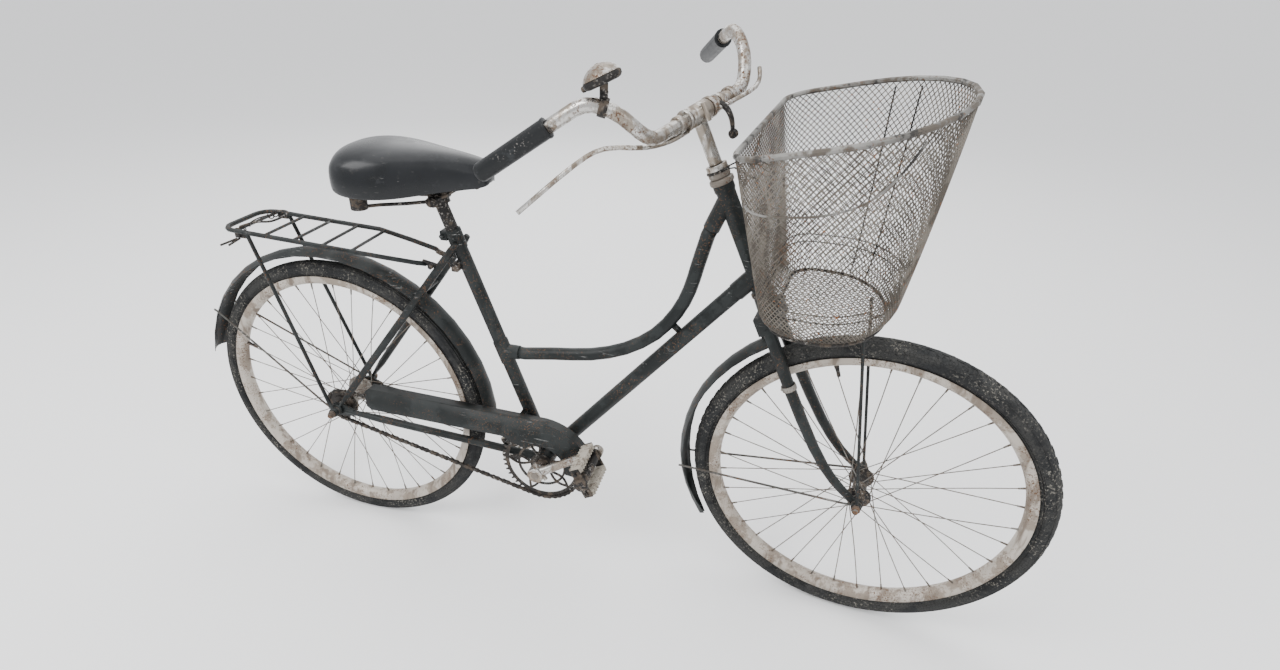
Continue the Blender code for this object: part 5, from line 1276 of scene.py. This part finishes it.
class BICYCLE_OT_stage(bpy.types.Operator):
    """Lay the pale floor, hang the soft lights and set the camera"""

    bl_idname = "bicycle.stage"
    bl_label = "Stage"

    def execute(self, context):
        scene = context.scene
        shape = bmesh.new()
        bmesh.ops.create_grid(shape, x_segments=1, y_segments=1, size=90,
                              matrix=Matrix.Translation((0, 0, -RIDER.z)))
        mesh = bpy.data.meshes.new("studio_floor")
        shape.to_mesh(mesh)
        shape.free()
        floor = bpy.data.objects.new("studio_floor", mesh)
        pale = bpy.data.materials.new("studio_floor")
        pale.use_nodes = True
        shader = pale.node_tree.nodes["Principled BSDF"]
        shader.inputs["Base Color"].default_value = (0.93, 0.93, 0.93, 1)
        shader.inputs["Roughness"].default_value = 0.9
        mesh.materials.append(pale)
        scene.collection.objects.link(floor)
        for name, place, energy, size in (("key", (-1.6, -2.2, 2.6), 120, 2.2),
                                          ("fill", (2.8, -1.8, 1.6), 40, 3.0),
                                          ("top", (0.2, 0.6, 3.2), 70, 3.6),
                                          ("back", (-0.5, 3.2, 1.8), 45, 3.0)):
            data = bpy.data.lights.new(name, "AREA")
            data.energy = energy
            data.size = size
            lamp = bpy.data.objects.new(name, data)
            lamp.location = place
            lamp.rotation_euler = (Vector((0.3, 0, -0.4)) - Vector(place)).to_track_quat("-Z", "Y").to_euler()
            scene.collection.objects.link(lamp)
        world = bpy.data.worlds.new("studio")
        world.use_nodes = True
        world.node_tree.nodes["Background"].inputs["Color"].default_value = (0.97, 0.98, 1.0, 1)
        world.node_tree.nodes["Background"].inputs["Strength"].default_value = 1.25
        scene.world = world
        self.camera(scene)
        return {"FINISHED"}

    def camera(self, scene):
        azimuth, elevation, roll = (math.radians(a) for a in (15.0, 30.9, 1.2))
        back = Vector((math.sin(azimuth) * math.cos(elevation), -math.cos(azimuth) * math.cos(elevation),
                       math.sin(elevation)))
        right = (-back).cross(Z).normalized()
        up = right.cross(-back)
        right_turned = right * math.cos(roll) + up * math.sin(roll)
        up_turned = up * math.cos(roll) - right * math.sin(roll)
        data = bpy.data.cameras.new("camera")
        data.sensor_width = 36.0
        data.lens = 36.0 * 689.0 / 1280.0
        data.shift_x, data.shift_y = 0.0252, 0.0308
        data.clip_start, data.clip_end = 0.05, 400.0
        camera = bpy.data.objects.new("camera", data)
        turn = Matrix((right_turned, up_turned, back)).transposed().to_4x4()
        camera.matrix_world = Matrix.Translation(Vector((0.615, 0, 0.497)) - RIDER + back * 1.394) @ turn
        scene.collection.objects.link(camera)
        scene.camera = camera


class BICYCLE_PT_build(bpy.types.Panel):
    """Lists the steps that build the bicycle"""

    bl_idname = "BICYCLE_PT_build"
    bl_label = "Weathered Bicycle"
    bl_space_type = "VIEW_3D"
    bl_region_type = "UI"
    bl_category = "Bicycle"

    def draw(self, context):
        layout = self.layout
        for settings in (context.scene.bicycle_sizes, context.scene.bicycle_colours):
            column = layout.column()
            for name in settings.__annotations__:
                column.prop(settings, name)
        for step in STEPS:
            layout.operator(step.bl_idname)


STEPS = (BICYCLE_OT_solids, BICYCLE_OT_wheels, BICYCLE_OT_tyres, BICYCLE_OT_drive, BICYCLE_OT_pedals,
         BICYCLE_OT_saddle, BICYCLE_OT_basket, BICYCLE_OT_bell, BICYCLE_OT_brakes, BICYCLE_OT_fittings,
         BICYCLE_OT_stage)
CLASSES = (BicycleSizes, BicycleColours, *STEPS, BICYCLE_PT_build)


def register():
    for each in CLASSES:
        bpy.utils.register_class(each)
    bpy.types.Scene.bicycle_sizes = bpy.props.PointerProperty(type=BicycleSizes)
    bpy.types.Scene.bicycle_colours = bpy.props.PointerProperty(type=BicycleColours)


def unregister():
    del bpy.types.Scene.bicycle_colours
    del bpy.types.Scene.bicycle_sizes
    for each in reversed(CLASSES):
        bpy.utils.unregister_class(each)


def main():
    register()
    for step in STEPS:
        operator = step.bl_idname.split(".")[1]
        if getattr(bpy.ops.bicycle, operator)() != {"FINISHED"}:
            raise RuntimeError(f"{step.bl_label} didn't finish")


if __name__ == "__main__":
    main()
